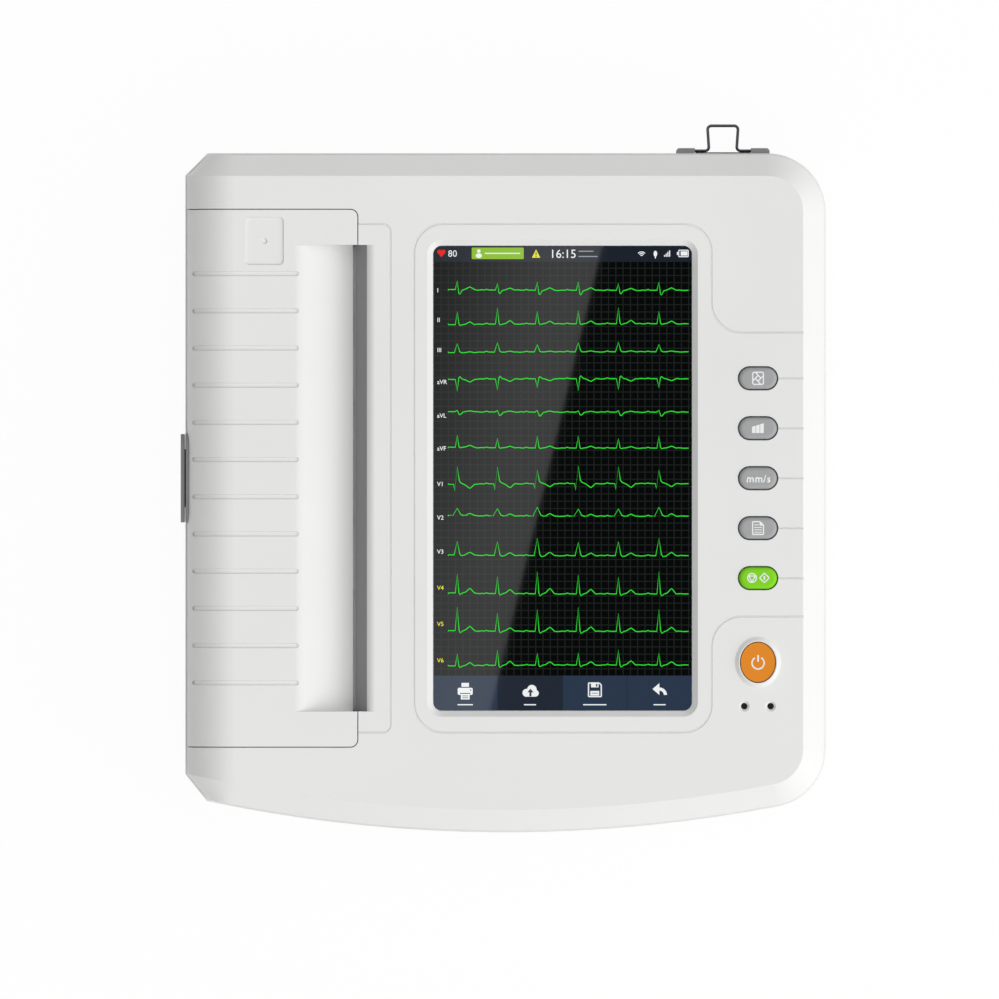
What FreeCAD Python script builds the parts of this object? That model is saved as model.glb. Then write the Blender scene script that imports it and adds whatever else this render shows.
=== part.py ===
import FreeCAD
import Part
import Sketcher
import math
import os
from types import SimpleNamespace

from FreeCAD import Rotation, Vector

# Portable resting ECG machine: a flat case with a colour screen, five keys and a power button,
# a chart printer on the left under a sliding cover, and a mains inlet with a retaining bail.
# The front points to -Y, the printer to -X, and z = 0 is the table under the rubber feet.

os.makedirs("parts", exist_ok=True)
doc = FreeCAD.newDocument("ecg_machine")
sheet = doc.addObject("Spreadsheet::Sheet", "sizes")

# Driving dimensions in millimetres; each gets a named cell of the sheet
SIZES = {
    "foot_height": 4,
    "foot_radius": 8,
    "foot_recess": 1,
    "foot_spread_x": 122,
    "foot_spread_back": 128,
    "foot_spread_front": 132,
    "case_height": 82,
    "split_height": 40,
    "shell_right": 154.6,
    "shell_left": 152.4,
    "shell_back": 155.8,
    "shell_front": 169.8,
    "front_bow": 690,
    "bow_centre": 1.1,
    "rim": 1.1,
    "wall": 2.5,
    "edge_bevel": 10,
    "corner_round": 26.9,
    "left_round": 22,
    "skirt_bevel": 3,
    "cover_edge": 69.8,
    "cover_side": 20.5,
    "cover_round": 3.4,
    "cover_gap": 0.4,
    "cover_foot_gap": 1,
    "trough_side": 3.6,
    "trough_left": 97.2,
    "trough_right": 64,
    "slit_place": 71.9,
    "slit_gap": 1,
    "trough_depth": 14,
    "trough_skin": 2.2,
    "trough_lip_round": 4,
    "cover_lip_round": 10,
    "tear_bar_low": 0.2,
    "tear_bar_high": 2.6,
    "tear_bar_thick": 1,
    "groove_width": 2.2,
    "groove_depth": 0.5,
    "groove_left": 148.7,
    "groove_right": 98,
    "groove_pitch": 17.8,
    "pad_left": 123.5,
    "pad_right": 105.1,
    "pad_long": 22.8,
    "pad_margin": 3.6,
    "pad_round": 2.2,
    "pad_depth": 0.6,
    "dimple_radius": 1.3,
    "dimple_depth": 0.4,
    "line_width": 0.7,
    "line_depth": 0.4,
    "printer_line_right": 53.6,
    "printer_line_side": 10.4,
    "printer_line_round": 4.3,
    "bezel_left": 43,
    "bezel_half": 122,
    "bezel_right": 100,
    "bezel_round": 13.6,
    "key_zone_front": 66.5,
    "key_zone_back": 70.1,
    "key_zone_round": 14,
    "glass_left": 33.5,
    "glass_right": 90.2,
    "glass_half": 111.2,
    "glass_round": 4.1,
    "glass_lip": 2.9,
    "glass_seat": 2.5,
    "glass_thick": 1.8,
    "lcd_thick": 5.5,
    "lcd_back_thick": 1.2,
    "key_column": 121.9,
    "key_pitch": 23.9,
    "key_long": 18.2,
    "key_wide": 10.4,
    "key_gap": 0.6,
    "key_rise": 1.2,
    "key_flange": 1,
    "key_flange_thick": 1.6,
    "key_flange_gap": 0.9,
    "key_crown": 2,
    "key_line_start": 131.5,
    "board_thick": 1.6,
    "mat_thick": 1.5,
    "mat_pad_radius": 3.5,
    "dome_radius": 3,
    "dome_height": 1.2,
    "key_rest_gap": 1.1,
    "power_place": 88.1,
    "power_wide": 16.6,
    "power_long": 19,
    "power_gap": 0.4,
    "collar_width": 1.8,
    "collar_rise": 1.4,
    "collar_top_width": 0.5,
    "led_row": 109.1,
    "led_spread": 6.3,
    "led_middle": 121.6,
    "led_radius": 1.5,
    "led_hole_gap": 0.05,
    "led_sink": 1,
    "led_rise": 0.9,
    "latch_half": 21.2,
    "latch_stand": 1.3,
    "latch_thick": 1.9,
    "latch_top_rise": 23.5,
    "latch_bottom_rise": 7.6,
    "latch_round": 5,
    "latch_bezel_half": 21.6,
    "latch_bezel_proud": 0.7,
    "latch_bezel_top_rise": 26,
    "latch_bezel_bottom_rise": 4.5,
    "latch_window_half": 16,
    "latch_window_low_rise": 5.3,
    "latch_window_high_rise": 13.3,
    "latch_neck_half": 14,
    "latch_neck_low_rise": 6.8,
    "latch_neck_high_rise": 11,
    "latch_pin_in": 4.8,
    "latch_pin_rise": 8.7,
    "latch_pin_radius": 1.5,
    "running_gap": 0.05,
    "latch_lug_thick": 3,
    "latch_arm_half": 8,
    "latch_nose_in": 14,
    "latch_nose_long": 2.4,
    "latch_nose_low_rise": 3.2,
    "keeper_gap": 0.5,
    "keeper_thick": 0.8,
    "keeper_bite": 1.3,
    "keeper_half": 7,
    "keeper_foot": 7,
    "roll_place": 112,
    "roll_radius": 21,
    "roll_half": 108,
    "core_radius": 6.5,
    "spool_radius": 4,
    "spool_reach": 4.6,
    "roll_floor_gap": 2,
    "holder_half": 8,
    "holder_thick": 2.5,
    "holder_gap": 2,
    "holder_rise": 5,
    "platen_place": 79,
    "platen_drop": 23.5,
    "platen_radius": 5.5,
    "platen_over": 1,
    "platen_shaft_radius": 2.5,
    "cheek_thick": 3,
    "cheek_gap": 2,
    "cheek_long": 14,
    "bush_radius": 4,
    "bush_flange": 1,
    "gear_module": 0.8,
    "gear_width": 4,
    "gear_gap": 1.5,
    "platen_teeth": 22,
    "idler_teeth": 24,
    "pinion_teeth": 12,
    "idler_drop": 25,
    "pinion_drop": 62,
    "idler_pin_radius": 2,
    "motor_radius": 11,
    "motor_long": 20,
    "motor_shaft_radius": 1.5,
    "head_gap": 0.3,
    "head_thick": 3,
    "head_below": 10.5,
    "head_above": 5,
    "head_over": 3,
    "sink_base": 3,
    "sink_fin": 1.4,
    "sink_fin_count": 9,
    "sink_fin_reach": 4.5,
    "frame_plate": 2,
    "frame_over": 8,
    "frame_left": 68,
    "frame_right": 40,
    "frame_above": 3.5,
    "runner_web": 2,
    "runner_thick": 2.6,
    "runner_drop": 11,
    "runner_inset": 2.6,
    "guide_gap": 0.35,
    "guide_lip": 2,
    "guide_inset": 9.5,
    "bay_wall_gap": 1.6,
    "bay_wall": 2,
    "inlet_place": 105.4,
    "inlet_height": 22,
    "inlet_wide": 26.4,
    "inlet_high": 20,
    "inlet_deep": 28,
    "inlet_proud": 0.6,
    "inlet_cavity_wide": 24,
    "inlet_cavity_high": 16.4,
    "inlet_cavity_deep": 17,
    "inlet_cavity_round": 4,
    "blade_thick": 2,
    "blade_high": 4,
    "blade_long": 15,
    "blade_spread": 7,
    "blade_offset": 2,
    "bail_block_inner": 13.5,
    "bail_block_wide": 8.9,
    "bail_block_high": 20,
    "bail_block_proud": 2.6,
    "bail_block_round": 1.6,
    "bail_wire_radius": 0.7,
    "bail_reach": 12,
    "bail_top_half": 7.4,
    "bail_base_half": 6.6,
    "bail_bend": 1.8,
    "bail_pivot_out": 1.4,
    "bail_pin_long": 3,
    "bail_end_gap": 0.3,
    "lead_place": 62,
    "lead_wide": 31,
    "lead_high": 12.5,
    "lead_deep": 14,
    "lead_shell_wide": 24.5,
    "lead_shell_high": 8,
    "port_height": 20,
    "usb_place": 18,
    "usb_wide": 14.5,
    "usb_high": 7.5,
    "usb_deep": 14,
    "usb_slot_wide": 12.5,
    "usb_slot_high": 5,
    "usb_slot_deep": 10,
    "usb_tongue": 1.8,
    "lan_place": 14,
    "lan_wide": 16,
    "lan_high": 13.5,
    "lan_deep": 21,
    "lan_slot_wide": 11.8,
    "lan_slot_high": 8,
    "lan_slot_deep": 13,
    "port_gap": 0.3,
    "boss_radius": 4.5,
    "screw_radius": 1.6,
    "screw_head_radius": 3,
    "screw_head": 2.4,
    "screw_tail": 10,
    "screw_right": 128,
    "screw_left": 136,
    "screw_back": 130,
    "screw_front": 128,
    "screw_cover_gap": 12.5,
    "main_left": 34,
    "main_right": 92,
    "main_front": 96,
    "main_back": 62,
    "board_stand": 7,
    "stand_radius": 3,
    "stand_inset": 5,
    "chip_wide": 10,
    "processor_wide": 20,
    "memory_long": 12,
    "memory_offset": 22,
    "memory_spread": 8,
    "amplifier_offset": 30,
    "amplifier_pitch": 20,
    "header_wide": 5,
    "header_long": 20,
    "header_spread": 30,
    "power_left": 62,
    "power_right": 140,
    "power_front": 74,
    "power_back": 122,
    "transformer_wide": 26,
    "transformer_long": 24,
    "transformer_high": 16,
    "capacitor_radius": 7,
    "capacitor_high": 20,
    "coil_long": 14,
    "coil_high": 12,
    "coil_spread": 8,
    "battery_left": 2,
    "battery_right": 106,
    "battery_front": 150,
    "battery_back": 108,
    "battery_high": 20,
    "battery_lift": 1,
    "pack_round": 3.4,
    "door_lap": 3,
    "door_gap": 0.4,
    "door_lip": 1,
    "speaker_place": 108,
    "speaker_row": 143,
    "speaker_radius": 14,
    "speaker_high": 9,
    "speaker_hole": 1.6,
    "vent_count": 7,
    "vent_pitch": 8,
    "vent_wide": 2.5,
    "vent_long": 30,
    "vent_place": 20,
    "vent_row": 100,
}


class Size:
    """A length taken from the sheet, or a sum of such lengths, kept as a number and as an expression."""

    def __init__(self, number, text):
        self.number = number
        self.text = text

    def __float__(self):
        return float(self.number)

    def __add__(self, other):
        return join_sizes(self, "+", other)

    def __radd__(self, other):
        return join_sizes(other, "+", self)

    def __sub__(self, other):
        return join_sizes(self, "-", other)

    def __rsub__(self, other):
        return join_sizes(other, "-", self)

    def __mul__(self, other):
        return join_sizes(self, "*", other)

    def __rmul__(self, other):
        return join_sizes(other, "*", self)

    def __truediv__(self, other):
        return join_sizes(self, "/", other)

    def __neg__(self):
        return join_sizes(0, "-", self)


WORK = {
    "+": lambda a, b: a + b,
    "-": lambda a, b: a - b,
    "*": lambda a, b: a * b,
    "/": lambda a, b: a / b,
}


def text_of(size):
    """Expression of a size or of a plain number."""
    return size.text if isinstance(size, Size) else f"({float(size):.9f})"


def join_sizes(left, sign, right):
    """Size made of two others."""
    number = WORK[sign](float(left), float(right))
    return Size(number, f"({text_of(left)} {sign} {text_of(right)})")


s = SimpleNamespace()
for row, (alias, number) in enumerate(SIZES.items(), start=1):
    sheet.set(f"A{row}", alias)
    sheet.set(f"B{row}", str(number))
    sheet.setAlias(f"B{row}", alias)
    setattr(s, alias, Size(float(number), f"sizes.{alias}"))
doc.recompute()

TINY = 0.001
OVER = 1.0
nodes = []


def bind(item, **sizes):
    """Tie properties of an object to the sheet; a dot in a property is written as two underscores."""
    for name, size in sizes.items():
        item.setExpression(name.replace("__", "."), text_of(size))
    return item


def place(item, x=0, y=0, z=0):
    """Tie the place of an object to the sheet."""
    return bind(item, Placement__Base__x=x, Placement__Base__y=y, Placement__Base__z=z)


def node(name, item):
    """Give a finished sub-part its name."""
    item.Label = name
    nodes.append(item)
    return item


def box(x, y, z):
    """Block between the low and high ends on each axis."""
    item = doc.addObject("Part::Box", "block")
    bind(item, Length=x[1] - x[0], Width=y[1] - y[0], Height=z[1] - z[0])
    return place(item, x[0], y[0], z[0])


TURN = {
    "X": Rotation(Vector(0, 1, 0), 90),
    "Y": Rotation(Vector(1, 0, 0), -90),
    "Z": Rotation(),
}


def rod(axis, at, radius, low, high, end_radius=None):
    """Cylinder, or cone with an end radius, along one axis; at gives the other two coordinates in order."""
    item = doc.addObject("Part::Cylinder" if end_radius is None else "Part::Cone", "rod")
    item.Placement = FreeCAD.Placement(Vector(), TURN[axis])
    if end_radius is None:
        bind(item, Radius=radius, Height=high - low)
    else:
        bind(item, Radius1=radius, Radius2=end_radius, Height=high - low)
    spots = {"X": (low, at[0], at[1]), "Y": (at[0], low, at[1]), "Z": (at[0], at[1], low)}
    return place(item, *spots[axis])


def fuse(*items):
    """Union of several objects."""
    if len(items) == 1:
        return items[0]
    item = doc.addObject("Part::MultiFuse", "union")
    item.Shapes = list(items)
    item.Refine = True
    return item


def cut(base, *tools):
    """An object less several others."""
    item = doc.addObject("Part::Cut", "cut")
    item.Base = base
    item.Tool = fuse(*tools)
    item.Refine = True
    return item


def common(first, second):
    """What two objects share."""
    item = doc.addObject("Part::Common", "common")
    item.Base = first
    item.Tool = second
    return item


def group(*items):
    """Several separate solids in one object."""
    item = doc.addObject("Part::Compound", "group")
    item.Links = list(items)
    return item


PLANES = {
    "XY": ("XY_Plane", "z", lambda a, b: Vector(a, b, 0)),
    "XZ": ("XZ_Plane", "y", lambda a, b: Vector(a, 0, b)),
    "YZ": ("YZ_Plane", "x", lambda a, b: Vector(0, a, b)),
}


def body_sketch(body, plane, name="outline"):
    """Empty sketch on one of a body's own planes."""
    sketch = body.newObject("Sketcher::SketchObject", name)
    support = [item for item in body.Origin.OriginFeatures if item.Role == PLANES[plane][0]][0]
    sketch.AttachmentSupport = [(support, "")]
    sketch.MapMode = "FlatFace"
    return sketch


def pin_point(sketch, edge, point, x=None, y=None):
    """Tie a sketch point to the sheet, measured from the sketch's origin."""
    for kind, size in (("DistanceX", x), ("DistanceY", y)):
        if size is not None:
            index = sketch.addConstraint(Sketcher.Constraint(kind, -1, 1, edge, point, float(size)))
            sketch.setExpression(f"Constraints[{index}]", text_of(size))


def close_corners(sketch, count):
    """Join each sketch edge to the next."""
    for edge in range(count):
        sketch.addConstraint(Sketcher.Constraint("Coincident", edge, 2, (edge + 1) % count, 1))


def edge_names(shape, keep):
    """Names of the edges that a rule keeps."""
    return [f"Edge{index}" for index, edge in enumerate(shape.Edges, start=1) if keep(edge)]


def dress(body, kind, keep, size):
    """Fillet or chamfer the edges of a body's last feature that a rule keeps."""
    doc.recompute()
    last = body.Tip
    feature = body.newObject(f"PartDesign::{kind}", kind.lower())
    feature.Base = (last, edge_names(last.Shape, keep))
    bind(feature, **{"Radius" if kind == "Fillet" else "Size": size})
    return body


def prism(plane, points, low, high, rounds=()):
    """Body padded from a polygon of sheet points; rounds pairs a radius with corner numbers."""
    body = doc.addObject("PartDesign::Body", "body")
    sketch = body_sketch(body, plane)
    spots = [Vector(float(a), float(b), 0) for a, b in points]
    count = len(points)
    for index, spot in enumerate(spots):
        sketch.addGeometry(Part.LineSegment(spot, spots[(index + 1) % count]), False)
    close_corners(sketch, count)
    for index, (a, b) in enumerate(points):
        pin_point(sketch, index, 1, a, b)
    pad = body.newObject("PartDesign::Pad", "pad")
    pad.Profile = sketch
    bind(pad, Length=high - low)
    _, axis, lift = PLANES[plane]
    bind(body, **{f"Placement__Base__{axis}": high if plane == "XZ" else low})
    for radius, corners in rounds:
        targets = [lift(float(points[index][0]), float(points[index][1])) for index in corners]

        def at_corner(edge, targets=targets, axis=axis):
            ends = [vertex.Point for vertex in edge.Vertexes]
            for target in targets:
                for end in ends:
                    setattr(end, axis, getattr(target, axis))
                if all((end - target).Length < TINY for end in ends):
                    return True
                ends = [vertex.Point for vertex in edge.Vertexes]
            return False

        dress(body, "Fillet", at_corner, radius)
    return body


def plate(x, y, z, radius=None, corners=(0, 1, 2, 3)):
    """Flat block with rounded upright corners, counted from the front left one to the right."""
    points = [(x[0], y[0]), (x[1], y[0]), (x[1], y[1]), (x[0], y[1])]
    rounds = ((radius, corners),) if radius is not None else ()
    return prism("XY", points, z[0], z[1], rounds)


def slot_sketch(sketch, centre_x, centre_y, length, width):
    """Pill outline along X."""
    reach = (length - width) / 2
    radius = width / 2
    left = Vector(float(centre_x - reach), float(centre_y), 0)
    right = Vector(float(centre_x + reach), float(centre_y), 0)
    up = Vector(0, float(radius), 0)
    axis = Vector(0, 0, 1)
    circle = [Part.Circle(spot, axis, float(radius)) for spot in (right, left)]
    sketch.addGeometry(Part.LineSegment(left - up, right - up), False)
    sketch.addGeometry(Part.ArcOfCircle(circle[0], -math.pi / 2, math.pi / 2), False)
    sketch.addGeometry(Part.LineSegment(right + up, left + up), False)
    sketch.addGeometry(Part.ArcOfCircle(circle[1], math.pi / 2, 3 * math.pi / 2), False)
    close_corners(sketch, 4)
    pin_point(sketch, 1, 3, centre_x + reach, centre_y)
    pin_point(sketch, 3, 3, centre_x - reach, centre_y)
    pin_point(sketch, 1, 1, centre_x + reach, centre_y - radius)
    pin_point(sketch, 1, 2, x=centre_x + reach)
    pin_point(sketch, 3, 1, centre_x - reach, centre_y + radius)
    pin_point(sketch, 3, 2, x=centre_x - reach)


def pill(centre_x, centre_y, length, width, low, high, crown=None):
    """Body with a pill outline along X and, where asked, a rounded top edge."""
    body = doc.addObject("PartDesign::Body", "pill")
    sketch = body_sketch(body, "XY")
    slot_sketch(sketch, centre_x, centre_y, length, width)
    pad = body.newObject("PartDesign::Pad", "pad")
    pad.Profile = sketch
    bind(pad, Length=high - low)
    bind(body, Placement__Base__z=low)
    if crown is not None:
        height = float(high - low)
        dress(body, "Fillet", lambda edge: edge.BoundBox.ZMin > height - TINY, crown)
    return body


def ellipse(centre_x, centre_y, wide, long, level):
    """Flat elliptical outline, given its sizes along X and Y."""
    curve = doc.addObject("Part::Ellipse", "ellipse")
    upright = float(long) >= float(wide)
    curve.Placement = FreeCAD.Placement(Vector(), Rotation(Vector(0, 0, 1), 90 if upright else 0))
    bind(curve, MajorRadius=(long if upright else wide) / 2, MinorRadius=(wide if upright else long) / 2)
    return place(curve, centre_x, centre_y, level)


def oval(centre_x, centre_y, wide, long, low, high, taper=None):
    """Upright elliptical block; taper is how much its sides draw in from low to high."""
    base = ellipse(centre_x, centre_y, wide, long, low)
    if taper is None:
        item = doc.addObject("Part::Extrusion", "oval")
        item.Base = base
        item.DirMode = "Custom"
        item.Dir = Vector(0, 0, 1)
        bind(item, LengthFwd=high - low)
    else:
        item = doc.addObject("Part::Loft", "tapered_oval")
        item.Sections = [base, ellipse(centre_x, centre_y, wide - 2 * taper, long - 2 * taper, high)]
        item.Ruled = True
    item.Solid = True
    return item


# Levels and faces that several pieces share
top = s.case_height
cover_half = s.roll_half + s.cover_side
trough_half = s.roll_half + s.trough_side
printer_line_half = trough_half + s.printer_line_side
platen_half = s.roll_half + s.platen_over
head_half = s.roll_half + s.head_over
frame_half = s.roll_half + s.frame_over
screw_left_back = cover_half + s.screw_cover_gap
pad_back = cover_half - s.pad_margin
pad_front = pad_back - s.pad_long
platen_height = top - s.platen_drop
head_low = platen_height - s.head_below
head_high = platen_height + s.head_above
frame_high = platen_height + s.frame_above
ceiling = top - s.wall
floor_top = s.foot_height + s.wall
upper_left = s.shell_left - s.rim
far_left = -(s.shell_left + s.left_round)
BEVEL_SHARE = 2 - math.sqrt(2)


def case_outline(body, inset):
    """Plan outline of the case: straight left, back and right sides and a bowed front."""
    sketch = body_sketch(body, "XY")
    left, right, back = s.shell_left - inset, s.shell_right - inset, s.shell_back - inset
    radius = s.front_bow - inset
    middle = s.front_bow - s.shell_front
    ends = []
    for x in (-float(left), float(right)):
        run = x - float(s.bow_centre)
        ends.append(Vector(x, float(middle) - math.sqrt(float(radius) ** 2 - run ** 2), 0))
    centre = Vector(float(s.bow_centre), float(middle), 0)
    angles = [math.atan2(end.y - centre.y, end.x - centre.x) for end in ends]
    back_right = Vector(float(right), float(back), 0)
    back_left = Vector(-float(left), float(back), 0)
    bow = Part.Circle(centre, Vector(0, 0, 1), float(radius))
    sketch.addGeometry(Part.ArcOfCircle(bow, angles[0], angles[1]), False)
    sketch.addGeometry(Part.LineSegment(ends[1], back_right), False)
    sketch.addGeometry(Part.LineSegment(back_right, back_left), False)
    sketch.addGeometry(Part.LineSegment(back_left, ends[0]), False)
    close_corners(sketch, 4)
    pin_point(sketch, 0, 3, s.bow_centre, middle)
    index = sketch.addConstraint(Sketcher.Constraint("Radius", 0, float(radius)))
    sketch.setExpression(f"Constraints[{index}]", text_of(radius))
    pin_point(sketch, 0, 1, x=-left)
    pin_point(sketch, 0, 2, x=right)
    pin_point(sketch, 2, 1, right, back)
    pin_point(sketch, 3, 1, -left, back)
    return sketch


def upright(edge):
    """True for an edge that runs straight up."""
    size = edge.BoundBox
    return size.XLength < TINY and size.YLength < TINY


def case_block(inset, low, high, rounding):
    """Plan outline padded between two levels, with the right corners rounded."""
    body = doc.addObject("PartDesign::Body", "case_block")
    pad = body.newObject("PartDesign::Pad", "pad")
    pad.Profile = case_outline(body, inset)
    bind(pad, Length=high - low)
    bind(body, Placement__Base__z=low)
    return dress(body, "Fillet", lambda edge: upright(edge) and edge.BoundBox.XMin > 0, rounding)


def upper_block(inset, low):
    """Top half of the case as a solid: a large round along the left edge, one bevel round the rest."""
    depth = inset - s.rim
    body = case_block(inset, low, top - depth, s.corner_round - depth)
    height = float(top - depth - low)
    left = float(s.shell_left - inset)

    def left_crest(edge):
        size = edge.BoundBox
        return size.ZMin > height - TINY and size.XMax < TINY - left

    dress(body, "Fillet", left_crest, s.left_round - depth)

    def crest(edge):
        size = edge.BoundBox
        along_left = size.XLength < TINY and size.ZLength < TINY and size.XMin < 0
        right_upright = size.ZLength > TINY and size.XMin > 0
        return size.ZMax > TINY and not along_left and not right_upright

    return dress(body, "Chamfer", crest, s.edge_bevel - BEVEL_SHARE * depth)


def lower_block(inset, low, high):
    """Bottom half of the case as a solid, with its left corners cut in line with the bevel above."""
    body = case_block(inset, low, high, s.corner_round + s.rim - inset)
    size = s.edge_bevel + BEVEL_SHARE * (s.rim - inset)
    return dress(body, "Chamfer", lambda edge: upright(edge) and edge.BoundBox.XMin < 0, size)


def mirrored(make):
    """The same piece made once on each side of the XZ plane; make takes a pair of Y ends."""
    return lambda near, far: (make((near, far)), make((-far, -near)))


# Top half of the case
upper_solid = upper_block(s.rim, s.split_height)
upper_core = upper_block(s.rim + s.wall, s.split_height - OVER)
upper_shell = cut(upper_solid, upper_core)

bay_inner = cover_half + s.cover_gap + s.bay_wall_gap
bay_outer = bay_inner + s.bay_wall
trough_end = trough_half + s.trough_skin
trough_floor = top - s.trough_depth
lip = -s.slit_place + s.slit_gap
zone_edge = -s.cover_edge + s.cover_gap
zone_half = cover_half + s.cover_gap

cover_zone = plate((far_left, zone_edge), (-zone_half, zone_half), (s.split_height - OVER, top + OVER),
                   s.cover_round + s.cover_gap, (1, 2))

bay_walls = mirrored(lambda y: box((-upper_left, -s.printer_line_right), y, (s.split_height, top)))
screw_spots = [
    (s.screw_right, s.screw_back),
    (s.screw_right, -s.screw_front),
    (-s.screw_left, screw_left_back),
    (-s.screw_left, -screw_left_back),
]
case_posts = [rod("Z", spot, s.boss_radius, s.split_height, top) for spot in screw_spots]
key_zone_low = ceiling - s.key_flange_gap - s.key_flange_thick - s.key_rest_gap
board_top = key_zone_low - s.mat_thick - s.dome_height
key_post_left = s.key_column - s.key_long / 2 - s.stand_radius
key_post_right = s.key_column + s.key_long / 2 + s.stand_radius
board_back = s.key_zone_back
board_front = s.led_row + s.stand_inset + s.stand_radius
key_posts = [rod("Z", (x, y), s.stand_radius, board_top, top)
             for x in (key_post_left, key_post_right)
             for y in (board_back - s.stand_inset, s.stand_inset - board_front)]
glass_edge = s.glass_lip + s.glass_seat
lcd_left, lcd_right = -s.glass_left - glass_edge, s.glass_right + glass_edge
lcd_half = s.glass_half + glass_edge
lcd_low = ceiling - s.glass_thick - s.lcd_thick - s.lcd_back_thick
lcd_posts = [rod("Z", (x, y), s.stand_radius, lcd_low, top)
             for x in (lcd_left - s.stand_radius, lcd_right + s.stand_radius)
             for y in (-s.stand_inset - s.glass_half / 2, s.glass_half / 2 + s.stand_inset)]
inner_walls = common(fuse(*bay_walls(bay_inner, bay_outer), *case_posts, *key_posts, *lcd_posts), upper_solid)

wall_foot = lip + s.trough_skin
trough_wall = prism("XZ", [
    (lip, trough_floor - s.trough_skin),
    (wall_foot, trough_floor - s.trough_skin),
    (-s.trough_right + s.wall, ceiling),
    (-s.trough_right + 2 * s.wall, ceiling),
    (-s.trough_right + 2 * s.wall, top),
    (zone_edge, top),
    (zone_edge, trough_floor),
    (lip, trough_floor),
], -trough_end, trough_end)
trough_cut = prism("XZ", [
    (-s.slit_place - s.slit_gap, trough_floor),
    (lip, trough_floor),
    (-s.trough_right, top),
    (-s.trough_right + s.trough_lip_round, top),
    (-s.trough_right + s.trough_lip_round, top + OVER),
    (-s.slit_place - s.slit_gap, top + OVER),
], -trough_half, trough_half, ((s.trough_lip_round, (2,)),))
trough_run = -s.trough_right - lip


def on_trough_wall(height, depth=0):
    """Point at a height above the slit and a depth into the wall beside it."""
    return lip + trough_run * (height / s.trough_depth) + depth, trough_floor + height


bar_high = s.trough_depth - s.tear_bar_high
tear_bar = prism("XZ", [
    on_trough_wall(s.tear_bar_low),
    on_trough_wall(s.tear_bar_low, s.tear_bar_thick),
    on_trough_wall(bar_high, s.tear_bar_thick),
    on_trough_wall(bar_high),
], -trough_half, trough_half)
node("tear_bar", tear_bar)


def frame_line(points, rounds):
    """Fine groove in the top face that follows an outline, kept inside it."""
    outer = prism("XY", [(x, y) for x, y, _, _ in points], top - s.line_depth, top + OVER, rounds)
    inner_points = [(x + s.line_width * step_x, y + s.line_width * step_y) for x, y, step_x, step_y in points]
    inner = prism("XY", inner_points, top - s.line_depth - OVER, top + 2 * OVER, rounds)
    return cut(outer, inner)


printer_line = frame_line([
    (-s.cover_edge - s.cover_round, -printer_line_half, 0, 1),
    (-s.printer_line_right, -printer_line_half, -1, 1),
    (-s.printer_line_right, printer_line_half, -1, -1),
    (-s.cover_edge - s.cover_round, printer_line_half, 0, -1),
], ((s.printer_line_round, (1, 2)),))
bezel_line = frame_line([
    (-s.bezel_left, -s.bezel_half, 1, 1),
    (s.bezel_right, -s.bezel_half, -1, 1),
    (s.bezel_right, -s.key_zone_front, -1, 1),
    (s.shell_right, -s.key_zone_front, 0, 1),
    (s.shell_right, s.key_zone_back, 0, -1),
    (s.bezel_right, s.key_zone_back, -1, -1),
    (s.bezel_right, s.bezel_half, -1, -1),
    (-s.bezel_left, s.bezel_half, 1, -1),
], ((s.bezel_round, (0, 1, 6, 7)), (s.key_zone_round, (2, 5))))

key_rows = [s.key_pitch * step for step in (2, 1, 0, -1, -2)]
key_holes = [pill(s.key_column, row, s.key_long + 2 * s.key_gap, s.key_wide + 2 * s.key_gap,
                  ceiling - OVER, top + OVER) for row in key_rows]
key_lines = [box((s.key_line_start, s.shell_right), (row - s.line_width / 2, row + s.line_width / 2),
                 (top - s.line_depth, top + OVER)) for row in key_rows]


def rounded_outline(x, y, radius, level):
    """Flat outline of a rectangle with round corners, from the front left to the right."""
    sketch = doc.addObject("Sketcher::SketchObject", "rounded_outline")
    bind(sketch, Placement__Base__z=level)
    inner_x, inner_y = (x[0] + radius, x[1] - radius), (y[0] + radius, y[1] - radius)
    sides = [
        ((inner_x[0], y[0]), (inner_x[1], y[0]), (inner_x[1], inner_y[0])),
        ((x[1], inner_y[0]), (x[1], inner_y[1]), (inner_x[1], inner_y[1])),
        ((inner_x[1], y[1]), (inner_x[0], y[1]), (inner_x[0], inner_y[1])),
        ((x[0], inner_y[1]), (x[0], inner_y[0]), (inner_x[0], inner_y[0])),
    ]
    for turn, points in enumerate(sides):
        start, end, centre = [Vector(float(a), float(b), 0) for a, b in points]
        sketch.addGeometry(Part.LineSegment(start, end), False)
        angle = (turn - 1) * math.pi / 2
        corner = Part.Circle(centre, Vector(0, 0, 1), float(radius))
        sketch.addGeometry(Part.ArcOfCircle(corner, angle, angle + math.pi / 2), False)
    close_corners(sketch, 2 * len(sides))
    for turn, (_, end, centre) in enumerate(sides):
        arc = 2 * turn + 1
        pin_point(sketch, arc, 3, *centre)
        pin_point(sketch, arc, 1, *end)
        pin_point(sketch, arc, 2, **({"x": centre[0]} if turn % 2 else {"y": centre[1]}))
    return sketch


def screen_window():
    """Tapered window over the glass."""
    item = doc.addObject("Part::Loft", "window")
    sections = []
    for step in (-1, 2):
        grow = s.glass_lip * step
        sections.append(rounded_outline((-s.glass_left - grow, s.glass_right + grow),
                                        (-s.glass_half - grow, s.glass_half + grow),
                                        s.glass_round + grow, ceiling + s.wall * step))
    item.Sections = sections
    item.Solid = True
    item.Ruled = True
    return item


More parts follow.
